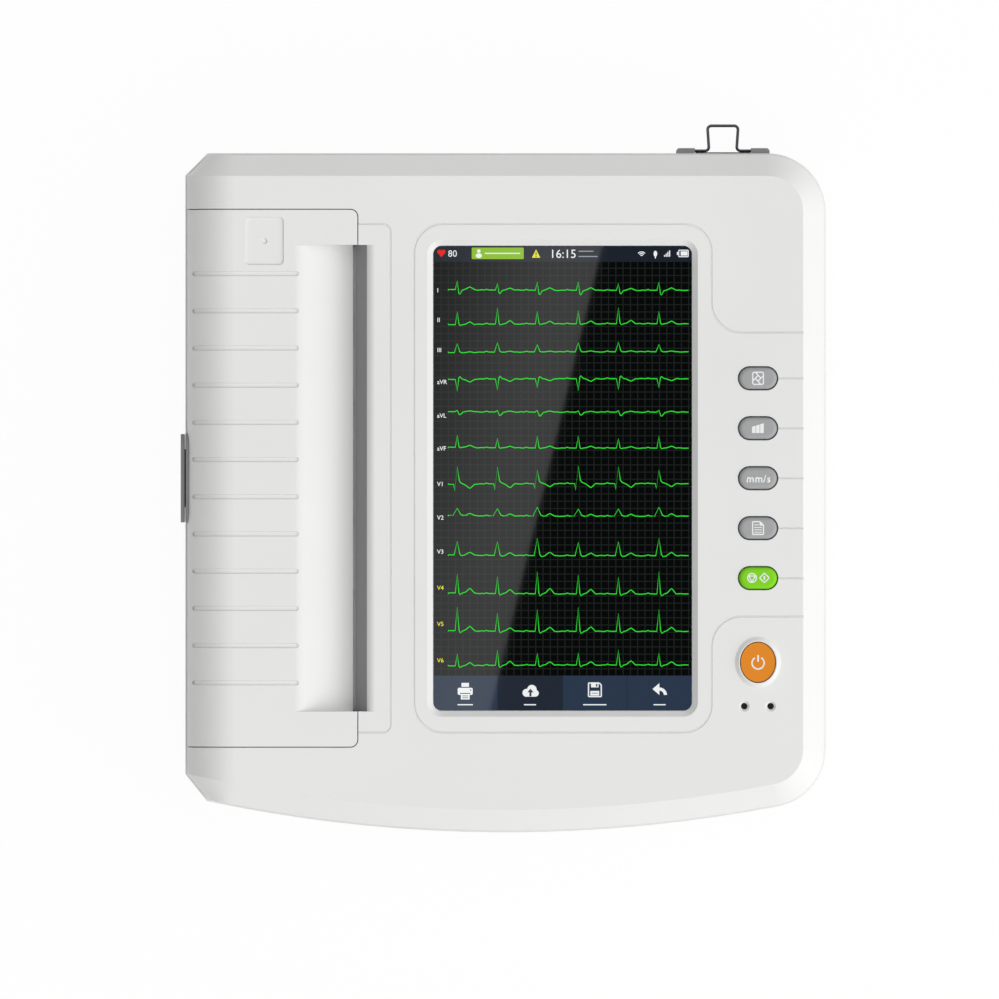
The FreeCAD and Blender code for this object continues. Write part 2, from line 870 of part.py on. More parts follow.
collar_low = (s.power_wide + 2 * s.power_gap + 2 * (s.collar_width + s.collar_top_width),
              s.power_long + 2 * s.power_gap + 2 * (s.collar_width + s.collar_top_width))
power_spot = (s.key_column, -s.power_place)
collar = oval(*power_spot, *collar_low, top, top + s.collar_rise, s.collar_width)
power_hole = oval(*power_spot, s.power_wide + 2 * s.power_gap, s.power_long + 2 * s.power_gap,
                  ceiling - OVER, top + s.collar_rise + OVER)
led_spots = [(s.led_middle + s.led_spread * side, -s.led_row) for side in (-1, 1)]
led_bore = s.led_radius + s.led_hole_gap
led_holes = []
for spot in led_spots:
    led_holes.append(rod("Z", spot, led_bore, ceiling - OVER, top + OVER))
    led_holes.append(rod("Z", spot, led_bore, top - s.led_sink, top, led_bore + s.led_sink))
post_bores = [rod("Z", spot, s.screw_radius, s.split_height - OVER, s.split_height + s.screw_tail)
              for spot in screw_spots]

upper_open = fuse(cut(upper_shell, cover_zone), inner_walls, trough_wall, collar)
node("upper_case", cut(upper_open, trough_cut, tear_bar, printer_line, bezel_line, *key_holes, *key_lines,
                       screen_window(), power_hole, *led_holes, *post_bores))


# Sliding paper cover: the same shell as the case, cut out along the seam
cover_in = plate((far_left, -s.cover_edge), (-cover_half, cover_half),
                 (s.split_height + s.cover_foot_gap, top + OVER), s.cover_round, (1, 2))
slope_top = -s.trough_left - 2 * s.trough_skin
cover_trough = prism("XZ", [
    (slope_top, ceiling),
    (-s.slit_place, trough_floor - s.trough_skin),
    (-s.slit_place, top),
    (slope_top, top),
], -trough_end, trough_end)
cover_trough_cut = prism("XZ", [
    (-s.trough_left, top),
    (-s.slit_place, trough_floor),
    (zone_edge, trough_floor),
    (zone_edge, top + OVER),
    (-s.trough_left - s.cover_lip_round / 2, top + OVER),
    (-s.trough_left - s.cover_lip_round / 2, top),
], -trough_half, trough_half, ((s.cover_lip_round, (0,)),))

groove_middle = -(s.groove_left + s.groove_right) / 2
GROOVE_STEPS = 6
groove_rows = [s.groove_pitch * (step + 0.5) for step in range(-GROOVE_STEPS, GROOVE_STEPS)]
groove_bars = [pill(groove_middle, row, s.groove_left - s.groove_right, s.groove_width,
                    s.split_height, top + OVER) for row in groove_rows]
groove_floor = upper_block(s.rim + s.groove_depth, s.split_height - OVER)
grooves = cut(fuse(*groove_bars), groove_floor)
pad_recess = plate((-s.pad_left, -s.pad_right), (pad_front, pad_back), (top - s.pad_depth, top + OVER),
                   s.pad_round)
pad_spot = (-(s.pad_left + s.pad_right) / 2, (pad_front + pad_back) / 2)
pad_low = top - s.pad_depth - s.dimple_depth
dimple = rod("Z", pad_spot, s.dimple_radius, pad_low, top)

latch_top = s.split_height + s.latch_top_rise
latch_bottom = s.split_height + s.latch_bottom_rise
latch_bezel_top = s.split_height + s.latch_bezel_top_rise
latch_bezel_bottom = s.split_height + s.latch_bezel_bottom_rise
latch_window_low = s.split_height + s.latch_window_low_rise
latch_window_high = s.split_height + s.latch_window_high_rise
latch_neck_low = s.split_height + s.latch_neck_low_rise
latch_neck_high = s.split_height + s.latch_neck_high_rise
latch_pin_height = s.split_height + s.latch_pin_rise
latch_nose_low = s.split_height + s.latch_nose_low_rise
latch_pin_x = -upper_left + s.latch_pin_in
latch_window = box((far_left, -upper_left + s.wall + OVER), (-s.latch_window_half, s.latch_window_half),
                   (latch_window_low, latch_window_high))
lug_inner = s.latch_neck_half + s.cover_gap
latch_lugs = mirrored(lambda y: box((-upper_left + s.wall / 2, latch_pin_x + 2 * s.latch_pin_radius), y,
                                    (latch_bezel_bottom, latch_window_high + OVER)))
latch_pin_spot = (latch_pin_x, latch_pin_height)
lug_outer = lug_inner + s.latch_lug_thick
lug_bore = rod("Y", latch_pin_spot, s.latch_pin_radius, -lug_outer - OVER, lug_outer + OVER)
cover_shell = fuse(common(upper_shell, cover_in), cover_trough)
cover_open = cut(cover_shell, cover_trough_cut, grooves, pad_recess, dimple, latch_window)
node("paper_cover", cut(fuse(cover_open, *latch_lugs(lug_inner, lug_outer)), lug_bore))

# Pull latch on the cover's left wall
bezel_block = prism("YZ", [
    (-s.latch_bezel_half, latch_bezel_bottom),
    (s.latch_bezel_half, latch_bezel_bottom),
    (s.latch_bezel_half, latch_bezel_top),
    (-s.latch_bezel_half, latch_bezel_top),
], -upper_left - s.latch_bezel_proud, -upper_left + s.latch_pin_in, ((s.latch_round, (0, 1, 2, 3)),))
node("latch_bezel", cut(bezel_block, upper_solid, latch_window))

handle_inner = -upper_left - s.latch_stand
handle_plate = prism("YZ", [
    (-s.latch_half, latch_bottom),
    (s.latch_half, latch_bottom),
    (s.latch_half, latch_top),
    (-s.latch_half, latch_top),
], handle_inner - s.latch_thick, handle_inner, ((s.latch_round, (0, 1, 2, 3)),))
nose_x = -upper_left + s.latch_nose_in
arm_end = latch_pin_x + 2 * s.latch_pin_radius
neck = box((handle_inner, arm_end), (-s.latch_neck_half, s.latch_neck_half),
           (latch_neck_low, latch_neck_high))
arm = prism("XZ", [
    (arm_end, latch_neck_low),
    (nose_x, latch_neck_low),
    (nose_x, latch_nose_low),
    (nose_x + s.latch_nose_long, latch_nose_low),
    (nose_x + s.latch_nose_long, latch_neck_high),
    (arm_end, latch_neck_high),
], -s.latch_arm_half, s.latch_arm_half)
handle_bore = rod("Y", latch_pin_spot, s.latch_pin_radius + s.running_gap, -s.latch_half, s.latch_half)
node("latch_handle", cut(fuse(handle_plate, neck, arm), handle_bore))
node("latch_pin", rod("Y", latch_pin_spot, s.latch_pin_radius, -lug_outer, lug_outer))

keeper_right = nose_x - s.keeper_gap
keeper_left = keeper_right - s.keeper_thick
node("latch_keeper", prism("XZ", [
    (keeper_left - s.keeper_foot, floor_top),
    (keeper_right, floor_top),
    (keeper_right, latch_nose_low + s.keeper_bite),
    (keeper_left, latch_nose_low + s.keeper_bite),
    (keeper_left, floor_top + s.keeper_thick),
    (keeper_left - s.keeper_foot, floor_top + s.keeper_thick),
], -s.keeper_half, s.keeper_half))

# Runners under the cover and the guides that hold them
runner_low = ceiling - s.runner_drop
runner_left = s.left_round - upper_left
runner_right = -s.cover_edge - s.runner_inset
web_out = cover_half - s.runner_inset
web_in = web_out - s.runner_web
flange_out = cover_half


def runner(side):
    """Angle-shaped runner on one side of the cover."""
    points = [(web_in, ceiling), (web_in, runner_low), (flange_out, runner_low),
              (flange_out, runner_low + s.runner_thick), (web_out, runner_low + s.runner_thick),
              (web_out, ceiling)]
    return prism("YZ", [(side * y, z) for y, z in points], runner_left, runner_right)


node("cover_runners", group(runner(1), runner(-1)))
guide_in = web_out + s.guide_gap
guide_left = s.guide_inset - upper_left
guide_levels = [runner_low - s.guide_gap - s.guide_lip, runner_low + s.runner_thick + s.guide_gap]
guide_bars = []
for level in guide_levels:
    bars = mirrored(lambda y: box((guide_left, -s.printer_line_right), y, (level, level + s.guide_lip)))
    guide_bars += bars(guide_in, bay_inner)
node("runner_guides", group(*guide_bars))

# Platen roller carried by the cover
platen_spot = (-s.platen_place, platen_height)
cheek_in = trough_end + s.cheek_gap
cheek_out = cheek_in + s.cheek_thick
bush_out = s.bush_radius + s.bush_flange
cheek_points = [
    (-s.platen_place - s.cheek_long / 2, ceiling),
    (-s.platen_place - bush_out, platen_height - bush_out),
    (-s.platen_place + bush_out, platen_height - bush_out),
    (-s.platen_place + s.cheek_long / 2, ceiling),
]


def cheek(y):
    """Plate that hangs from the cover and holds one end of the platen."""
    blank = prism("XZ", cheek_points, y[0], y[1])
    return cut(blank, rod("Y", platen_spot, s.bush_radius, y[0] - OVER, y[1] + OVER))


node("platen_cheeks", group(*mirrored(cheek)(cheek_in, cheek_out)))


def bush(y):
    """Plain bearing bush in a cheek."""
    sleeve = rod("Y", platen_spot, s.bush_radius, y[0], y[1])
    return cut(sleeve, rod("Y", platen_spot, s.platen_shaft_radius + s.running_gap, y[0] - OVER, y[1] + OVER))


node("platen_bushes", group(*mirrored(bush)(cheek_in, cheek_out)))
gear_low = cheek_out + s.gear_gap
gear_high = gear_low + s.gear_width
node("platen_shaft", rod("Y", platen_spot, s.platen_shaft_radius, -cheek_out - OVER, gear_high))
rubber = rod("Y", platen_spot, s.platen_radius, -platen_half, platen_half)
node("platen_roller", cut(rubber, rod("Y", platen_spot, s.platen_shaft_radius,
                                      -platen_half - OVER, platen_half + OVER)))

# Gear train from the feed motor to the platen
PRESSURE_ANGLE = math.radians(20)
ADDENDUM = 0.8
DEDENDUM = 1.15
BACKLASH = 0.14


def turn_point(radius, angle):
    """Point of the gear plane."""
    return Vector(radius * math.cos(angle), radius * math.sin(angle), 0)


def arc(radius, start, end):
    """Arc about the gear centre."""
    return Part.Arc(turn_point(radius, start), turn_point(radius, (start + end) / 2), turn_point(radius, end))


def involute(angle):
    """Involute function."""
    return math.tan(angle) - angle


def gear(teeth, bore, spot, phase):
    """Spur gear with involute flanks, its first tooth centred on the phase angle."""
    count = int(round(float(teeth)))
    module = float(s.gear_module)
    pitch = module * count / 2
    base = pitch * math.cos(PRESSURE_ANGLE)
    tip = pitch + ADDENDUM * module
    root = pitch - DEDENDUM * module
    half_tooth = math.pi / (2 * count) - BACKLASH * module / (2 * pitch) + involute(PRESSURE_ANGLE)
    levels = (base, (base + tip) / 2, tip)
    flank = [half_tooth - involute(math.acos(base / level)) for level in levels]
    edges = []
    for index in range(count):
        middle = phase + 2 * math.pi * index / count
        following = middle + 2 * math.pi / count
        rise = [turn_point(level, middle - half) for level, half in zip(levels, flank)]
        fall = [turn_point(level, middle + half) for level, half in zip(levels, flank)]
        edges.append(Part.LineSegment(turn_point(root, middle - flank[0]), rise[0]))
        edges.append(Part.Arc(*rise))
        edges.append(arc(tip, middle - flank[2], middle + flank[2]))
        edges.append(Part.Arc(*reversed(fall)))
        edges.append(Part.LineSegment(fall[0], turn_point(root, middle + flank[0])))
        edges.append(arc(root, middle + flank[0], following - flank[0]))
    outline = Part.Wire([edge.toShape() for edge in edges])
    hole = Part.Wire([Part.Circle(Vector(), Vector(0, 0, 1), float(bore)).toShape()])
    item = doc.addObject("Part::Feature", "gear")
    face = Part.makeFace([outline, hole], "Part::FaceMakerBullseye")
    item.Shape = face.extrude(Vector(0, 0, float(s.gear_width)))
    item.Placement = FreeCAD.Placement(Vector(), Rotation(Vector(1, 0, 0), 90))
    return place(item, spot[0], gear_high, spot[1])


def mesh_step(first, second, drop):
    """Offset from one gear's centre to the next, a drop angle below the X axis."""
    reach = s.gear_module * (first + second) / 2
    angle = math.radians(float(drop))
    return reach * math.cos(angle), -(reach * math.sin(angle))


idler_step = mesh_step(s.platen_teeth, s.idler_teeth, s.idler_drop)
idler_spot = (platen_spot[0] + idler_step[0], platen_spot[1] + idler_step[1])
pinion_step = mesh_step(s.idler_teeth, s.pinion_teeth, s.pinion_drop)
pinion_spot = (idler_spot[0] + pinion_step[0], idler_spot[1] + pinion_step[1])

platen_phase = -math.radians(float(s.idler_drop))
idler_tooth = math.pi / round(float(s.idler_teeth))
idler_phase = platen_phase + math.pi + idler_tooth
pinion_line = -math.radians(float(s.pinion_drop))
idler_lag = (pinion_line - idler_phase) % (2 * idler_tooth)
pinion_tooth = math.pi / round(float(s.pinion_teeth))
pinion_phase = pinion_line + math.pi + idler_lag * pinion_tooth / idler_tooth + pinion_tooth

node("platen_gear", gear(s.platen_teeth, s.platen_shaft_radius, platen_spot, platen_phase))
node("idler_gear", gear(s.idler_teeth, s.idler_pin_radius + s.running_gap, idler_spot, idler_phase))
node("motor_pinion", gear(s.pinion_teeth, s.motor_shaft_radius, pinion_spot, pinion_phase))

# Printer frame with the thermal head, its heat sink and the feed motor
frame_in = frame_half - s.frame_plate
motor_clear = s.motor_shaft_radius + s.port_gap


def frame_side(y):
    """Upright side plate of the printer frame."""
    return box((-s.frame_left, -s.frame_right), y, (floor_top, frame_high))


frame_base = box((-s.frame_left, -s.frame_right), (-frame_half, frame_half),
                 (floor_top, floor_top + s.frame_plate))
shaft_hole = rod("Y", pinion_spot, motor_clear, frame_in - OVER, frame_half + OVER)
idler_hole = rod("Y", idler_spot, s.idler_pin_radius, frame_in - OVER, frame_half + OVER)
node("printer_frame", cut(fuse(frame_base, *mirrored(frame_side)(frame_in, frame_half)),
                          shaft_hole, idler_hole))
idler_stem = rod("Y", idler_spot, s.idler_pin_radius, frame_in, gear_high + s.gear_gap)
idler_head = rod("Y", idler_spot, 2 * s.idler_pin_radius, gear_high + s.port_gap, gear_high + s.gear_gap)
idler_collar = rod("Y", idler_spot, 2 * s.idler_pin_radius, frame_half, gear_low - s.port_gap)
node("idler_pin", fuse(idler_stem, idler_head, idler_collar))
motor_body = rod("Y", pinion_spot, s.motor_radius, frame_in - s.motor_long, frame_in)
motor_bore = rod("Y", pinion_spot, motor_clear, frame_in - s.motor_long / 2, frame_in + OVER)
node("feed_motor", cut(motor_body, motor_bore))
node("motor_shaft", rod("Y", pinion_spot, s.motor_shaft_radius,
                        frame_in - s.motor_long / 2 + s.port_gap, gear_high))

head_left = -s.platen_place + s.platen_radius + s.head_gap
head_right = head_left + s.head_thick
node("print_head", box((head_left, head_right), (-head_half, head_half), (head_low, head_high)))
sink_right = head_right + s.sink_base
sink_base = box((head_right, sink_right), (-frame_in, frame_in), (head_low, head_high))
fin_pitch = (head_high - head_low - s.sink_fin) / (s.sink_fin_count - 1)
fins = []
for index in range(int(s.sink_fin_count.number)):
    fin_low = head_low + fin_pitch * index
    fins.append(box((sink_right, sink_right + s.sink_fin_reach), (-head_half, head_half),
                    (fin_low, fin_low + s.sink_fin)))
node("head_heat_sink", fuse(sink_base, *fins))

# Chart roll on its spool, dropped into two slotted holders
roll_spot = (-s.roll_place, floor_top + s.roll_floor_gap + s.roll_radius)


def tube(spot, outer, inner, half):
    """Sleeve along Y, the same length each way."""
    return cut(rod("Y", spot, outer, -half, half), rod("Y", spot, inner, -half - OVER, half + OVER))


node("chart_roll", tube(roll_spot, s.roll_radius, s.core_radius, s.roll_half))
node("roll_core", tube(roll_spot, s.core_radius, s.spool_radius, s.roll_half))
spool_half = s.roll_half + s.spool_reach
node("spool_shaft", rod("Y", roll_spot, s.spool_radius, -spool_half, spool_half))
holder_in = s.roll_half + s.holder_gap
holder_bore = s.spool_radius + s.running_gap


def holder(y):
    """Slotted holder that stands on the floor of the case."""
    blank = box((roll_spot[0] - s.holder_half, roll_spot[0] + s.holder_half), y,
                (floor_top, roll_spot[1] + s.holder_rise))
    bore = rod("Y", roll_spot, holder_bore, y[0] - OVER, y[1] + OVER)
    mouth = box((roll_spot[0] - holder_bore, roll_spot[0] + holder_bore), (y[0] - OVER, y[1] + OVER),
                (roll_spot[1], roll_spot[1] + s.holder_rise + OVER))
    return cut(blank, bore, mouth)


node("roll_holders", group(*mirrored(holder)(holder_in, holder_in + s.holder_thick)))

# Screen
node("screen_glass", plate((lcd_left, lcd_right), (-lcd_half, lcd_half), (ceiling - s.glass_thick, ceiling),
                           s.glass_round))
lcd_top = ceiling - s.glass_thick
node("display_panel", box((lcd_left, lcd_right), (-lcd_half, lcd_half), (lcd_top - s.lcd_thick, lcd_top)))
ear = 2 * s.stand_radius
ears = [box((x - ear, x + ear), (y - ear, y + ear), (lcd_low - s.lcd_back_thick, lcd_low))
        for x in (lcd_left, lcd_right)
        for y in (-s.stand_inset - s.glass_half / 2, s.glass_half / 2 + s.stand_inset)]
back_sheet = box((lcd_left, lcd_right), (-lcd_half, lcd_half), (lcd_low, lcd_top - s.lcd_thick))
node("display_bracket", fuse(back_sheet, *ears))

# Keys, their rubber mat and their board
KEY_NAMES = ("key_lead_off", "key_gain", "key_speed", "key_report", "key_start")
flange_top = ceiling - s.key_flange_gap
flange_low = flange_top - s.key_flange_thick
for name, row in zip(KEY_NAMES, key_rows):
    cap = pill(s.key_column, row, s.key_long, s.key_wide, flange_low, top + s.key_rise, s.key_crown)
    foot = pill(s.key_column, row, s.key_long + 2 * (s.key_gap + s.key_flange),
                s.key_wide + 2 * (s.key_gap + s.key_flange), flange_low, flange_top)
    node(name, fuse(cap, foot))
power_cap = oval(*power_spot, s.power_wide, s.power_long, flange_low, top + s.collar_rise - s.power_gap)
power_foot = oval(*power_spot, s.power_wide + 2 * (s.power_gap + s.key_flange),
                  s.power_long + 2 * (s.power_gap + s.key_flange), flange_low, flange_top)
node("power_button", fuse(power_cap, power_foot))
lenses = [rod("Z", spot, s.led_radius, board_top, top - s.led_rise) for spot in led_spots]
node("indicator_lenses", group(*lenses))

switch_spots = [(s.key_column, row) for row in key_rows] + [power_spot]
board_left = key_post_left - s.stand_radius
board_right = key_post_right + s.stand_radius
mat_low = board_top + s.dome_height
led_clear = [rod("Z", spot, s.led_radius + s.port_gap, mat_low - OVER, mat_low + s.mat_thick + OVER)
             for spot in led_spots]
post_clear = [rod("Z", (x, y), s.stand_radius + s.port_gap, mat_low - OVER, mat_low + s.mat_thick + OVER)
              for x in (key_post_left, key_post_right)
              for y in (board_back - s.stand_inset, s.stand_inset - board_front)]
mat_sheet = plate((board_left, board_right), (-board_front, board_back), (mat_low, mat_low + s.mat_thick))
mat_feet = [rod("Z", spot, s.mat_pad_radius + s.dome_radius, board_top, mat_low) for spot in switch_spots]
dome_clear = [rod("Z", spot, s.dome_radius, board_top - OVER, mat_low) for spot in switch_spots]
node("key_mat", cut(fuse(mat_sheet, *mat_feet), *led_clear, *post_clear, *dome_clear))
node("dome_switches", group(*[rod("Z", spot, s.dome_radius, board_top, mat_low, s.dome_radius / 2)
                              for spot in switch_spots]))
node("key_board", box((board_left, board_right), (-board_front, board_back),
                      (board_top - s.board_thick, board_top)))

# Mains inlet with its retaining bail, on the back
inlet_half = s.inlet_wide / 2
back_face = s.shell_back
inlet_x = (s.inlet_place - inlet_half, s.inlet_place + inlet_half)
inlet_z = (s.inlet_height - s.inlet_high / 2, s.inlet_height + s.inlet_high / 2)
inlet_front = back_face + s.inlet_proud
cavity_floor = inlet_front - s.inlet_cavity_deep
inlet_body = box(inlet_x, (back_face - s.inlet_deep, inlet_front), inlet_z)
cavity_half = s.inlet_cavity_wide / 2
cavity_rise = s.inlet_cavity_high / 2
cavity = prism("XZ", [
    (s.inlet_place - cavity_half, s.inlet_height - cavity_rise),
    (s.inlet_place + cavity_half, s.inlet_height - cavity_rise),
    (s.inlet_place + cavity_half, s.inlet_height + cavity_rise),
    (s.inlet_place - cavity_half, s.inlet_height + cavity_rise),
], cavity_floor, inlet_front + OVER, ((s.inlet_cavity_round, (2, 3)),))
node("mains_inlet", cut(inlet_body, cavity))
blade_spots = [(s.blade_spread * step, s.blade_offset * (1 - 2 * abs(step))) for step in (-1, 0, 1)]
blades = []
for across, up in blade_spots:
    x, z = s.inlet_place + across, s.inlet_height + up
    blades.append(box((x - s.blade_thick / 2, x + s.blade_thick / 2),
                      (cavity_floor, cavity_floor + s.blade_long),
                      (z - s.blade_high / 2, z + s.blade_high / 2)))
node("inlet_blades", group(*blades))

bail_y = back_face + s.bail_pivot_out
bail_bore = s.bail_wire_radius + s.running_gap
block_out = s.bail_block_inner + s.bail_block_wide


def bail_block(side):
    """Small block beside the inlet that holds one end of the bail."""
    near = s.inlet_place + side * s.bail_block_inner
    far = s.inlet_place + side * block_out
    x = (near, far) if side > 0 else (far, near)
    block_back = back_face + s.bail_block_proud
    outer_corner = (2,) if side > 0 else (3,)
    blank = prism("XY", [(x[0], back_face), (x[1], back_face), (x[1], block_back), (x[0], block_back)],
                  s.inlet_height - s.bail_block_high / 2, s.inlet_height + s.bail_block_high / 2,
                  ((s.bail_block_round, outer_corner),))
    pin_end = s.bail_pin_long + s.bail_end_gap
    hole = (near - OVER, near + pin_end) if side > 0 else (near - pin_end, near + OVER)
    return cut(blank, rod("X", (bail_y, s.inlet_height), bail_bore, *hole))


node("bail_blocks", group(bail_block(-1), bail_block(1)))


def bent_wire(points, bend):
    """Straight runs joined by arcs of one bend radius, as one wire."""
    edges = []
    start = points[0]
    for before, corner, after in zip(points, points[1:], points[2:]):
        back = (before - corner).normalize()
        ahead = (after - corner).normalize()
        half_turn = math.acos(max(-1.0, min(1.0, back.dot(ahead)))) / 2
        reach = bend / math.tan(half_turn)
        middle = (back + ahead).normalize() * (bend / math.sin(half_turn) - bend)
        edges.append(Part.LineSegment(start, corner + back * reach).toShape())
        edges.append(Part.Arc(corner + back * reach, corner + middle, corner + ahead * reach).toShape())
        start = corner + ahead * reach
    edges.append(Part.LineSegment(start, points[-1]).toShape())
    return Part.Wire(edges)


bail_end = float(s.bail_block_inner + s.bail_pin_long)
bail_half = [(-bail_end, 0), (-float(s.bail_base_half), 0), (-float(s.bail_top_half), float(s.bail_reach))]
bail_line = [Vector(x, y, 0) for x, y in bail_half] + [Vector(-x, y, 0) for x, y in reversed(bail_half)]
bail_path = bent_wire(bail_line, float(s.bail_bend))
bail_section = Part.Wire([Part.Circle(bail_line[0], Vector(1, 0, 0), float(s.bail_wire_radius)).toShape()])
bail = doc.addObject("Part::Feature", "bail")
bail.Shape = bail_path.makePipeShell([bail_section], True, False)
node("bail_wire", place(bail, s.inlet_place, bail_y, s.inlet_height))

# Sockets in the right-hand wall
right_face = s.shell_right
port_z = s.port_height


def socket_body(row, wide, high, deep):
    """Body of a socket, flush with the right-hand wall."""
    return box((right_face - deep, right_face), (row - wide / 2, row + wide / 2),
               (port_z - high / 2, port_z + high / 2))


def shell_outline(grow, low, high):
    """D-shaped prism of the patient-lead socket."""
    wide = s.lead_shell_wide / 2 + grow
    rise = s.lead_shell_high / 2 + grow
    slant = s.lead_shell_high / 8
    return prism("YZ", [
        (s.lead_place - wide + slant, port_z - rise),
        (s.lead_place + wide - slant, port_z - rise),
        (s.lead_place + wide, port_z + rise),
        (s.lead_place - wide, port_z + rise),
    ], low, high, ((s.lead_shell_high / 4, (0, 1, 2, 3)),))


shell_deep = s.lead_deep / 2
ring_gap = s.slit_gap
ring = cut(shell_outline(ring_gap, right_face - shell_deep, right_face + OVER),
           shell_outline(0 * ring_gap, right_face - s.lead_deep, right_face + 2 * OVER))
node("lead_socket", cut(socket_body(s.lead_place, s.lead_wide, s.lead_high, s.lead_deep), ring))
usb_hole = box((right_face - s.usb_slot_deep, right_face + OVER),
               (s.usb_place - s.usb_slot_wide / 2, s.usb_place + s.usb_slot_wide / 2),
               (port_z - s.usb_slot_high / 2, port_z + s.usb_slot_high / 2))
tongue_half = s.usb_slot_wide / 2 - s.port_gap
tongue_top = port_z + s.usb_slot_high / 2 - s.port_gap
usb_tongue = box((right_face - s.usb_slot_deep, right_face - s.port_gap),
                 (s.usb_place - tongue_half, s.usb_place + tongue_half),
                 (tongue_top - s.usb_tongue, tongue_top))
usb_shell = cut(socket_body(s.usb_place, s.usb_wide, s.usb_high, s.usb_deep), usb_hole)
node("usb_port", fuse(usb_shell, usb_tongue))
lan_hole = box((right_face - s.lan_slot_deep, right_face + OVER),
               (-s.lan_place - s.lan_slot_wide / 2, s.lan_slot_wide / 2 - s.lan_place),
               (port_z - s.lan_slot_high / 2, port_z + s.lan_slot_high / 2))
node("network_port", cut(socket_body(-s.lan_place, s.lan_wide, s.lan_high, s.lan_deep), lan_hole))

# Boards, battery and speaker on the floor of the case
board_low = floor_top + s.board_stand
main_x, main_y = (-s.main_left, s.main_right), (-s.main_front, s.main_back)
node("main_board", box(main_x, main_y, (board_low, board_low + s.board_thick)))
power_x, power_y = (s.power_left, s.power_right), (s.power_front, s.power_back)
node("power_board", box(power_x, power_y, (board_low, board_low + s.board_thick)))


def stands(x, y):
    """Board stands at the four corners of a board."""
    return [rod("Z", (across, along), s.stand_radius, s.foot_height, board_low)
            for across in (x[0] + s.stand_inset, x[1] - s.stand_inset)
            for along in (y[0] + s.stand_inset, y[1] - s.stand_inset)]


chip_low = board_low + s.board_thick
main_middle = ((main_x[0] + main_x[1]) / 2, (main_y[0] + main_y[1]) / 2)


def component(x, y, wide, long, high):
    """Block-shaped component standing on a board."""
    return box((x - wide / 2, x + wide / 2), (y - long / 2, y + long / 2), (chip_low, chip_low + high))


processor = component(*main_middle, s.processor_wide, s.processor_wide, s.board_thick)
memories = [component(main_middle[0] + s.memory_offset, main_middle[1] + s.memory_spread * side,
                      s.chip_wide, s.memory_long, s.board_thick) for side in (-1, 1)]
amplifiers = [component(main_middle[0] - s.amplifier_offset, main_middle[1] + s.amplifier_pitch * step,
                        s.chip_wide, s.chip_wide, s.board_thick) for step in (-2, -1, 0, 1, 2)]
headers = [component(main_x[1] - s.chip_wide, main_middle[1] + s.header_spread * side,
                     s.header_wide, s.header_long, s.header_wide) for side in (-1, 1)]
node("main_board_chips", group(processor, *memories, *amplifiers, *headers))
power_middle = ((power_x[0] + power_x[1]) / 2, (power_y[0] + power_y[1]) / 2)
transformer = component(*power_middle, s.transformer_wide, s.transformer_long, s.transformer_high)
capacitors = [rod("Z", (power_x[1] - s.chip_wide, power_middle[1] + s.coil_spread * side), s.capacitor_radius,
                  chip_low, chip_low + s.capacitor_high) for side in (-1, 1)]
coils = [component(power_x[0] + s.chip_wide, power_middle[1] + s.coil_spread * side,
                   s.chip_wide, s.coil_long, s.coil_high) for side in (-1, 1)]
node("power_board_parts", group(transformer, *capacitors, *coils))

battery_x, battery_y = (s.battery_left, s.battery_right), (-s.battery_front, -s.battery_back)
pack_low = floor_top + s.battery_lift
CELLS = 4
cell_pitch = (battery_x[1] - battery_x[0]) / CELLS
cell_cuts = []
for step in range(1, CELLS):
    seam = battery_x[0] + cell_pitch * step
    cell_cuts.append(box((seam - s.line_width, seam + s.line_width),
                         (battery_y[0] - OVER, battery_y[1] + OVER),
                         (pack_low + s.battery_high - s.line_width, pack_low + s.battery_high + OVER)))
pack = plate(battery_x, battery_y, (pack_low, pack_low + s.battery_high), s.pack_round)
node("battery_pack", cut(pack, *cell_cuts))
door_x = (battery_x[0] - s.door_lap, battery_x[1] + s.door_lap)
door_y = (battery_y[0] - s.door_lap, battery_y[1] + s.door_lap)
grips = [box((battery_x[1] - step * s.vent_pitch / 2, battery_x[1] - step * s.vent_pitch / 2 + s.line_width),
             (battery_y[0] + s.vent_pitch, battery_y[1] - s.vent_pitch),
             (s.foot_height - OVER, s.foot_height + s.line_depth)) for step in range(1, 6)]
node("battery_door", cut(plate(door_x, door_y, (s.foot_height, floor_top), s.pack_round), *grips))

speaker_spot = (-s.speaker_place, -s.speaker_row)
speaker_can = fuse(rod("Z", speaker_spot, s.speaker_radius, floor_top, floor_top + s.speaker_high / 3),
                   rod("Z", speaker_spot, s.speaker_radius, floor_top + s.speaker_high / 3,
                       floor_top + s.speaker_high, s.speaker_radius / 2))
node("speaker", speaker_can)

# Bottom half of the case
lower_solid = lower_block(0 * s.rim, s.foot_height, s.split_height)
dress(lower_solid, "Chamfer", lambda edge: edge.BoundBox.ZMax < TINY, s.skirt_bevel)
lower_core = lower_block(s.wall, floor_top, s.split_height + OVER)
foot_spots = [(x, y) for x in (-s.foot_spread_x, s.foot_spread_x)
              for y in (s.foot_spread_back, -s.foot_spread_front)]
foot_pockets = [rod("Z", spot, s.foot_radius, s.foot_height - OVER, s.foot_height + s.foot_recess)
                for spot in foot_spots]
screw_bosses = [rod("Z", spot, s.boss_radius, s.foot_height, s.split_height) for spot in screw_spots]
screw_well = s.screw_head_radius + s.port_gap
head_seat = floor_top + s.screw_head
screw_bores = []
for spot in screw_spots:
    screw_bores.append(rod("Z", spot, screw_well, s.foot_height - OVER, head_seat))
    screw_bores.append(rod("Z", spot, s.screw_radius + s.port_gap, head_seat - OVER, s.split_height + OVER))
inlet_window = box((inlet_x[0] - s.bail_end_gap, inlet_x[1] + s.bail_end_gap),
                   (back_face - s.wall - OVER, back_face + OVER),
                   (inlet_z[0] - s.bail_end_gap, inlet_z[1] + s.bail_end_gap))
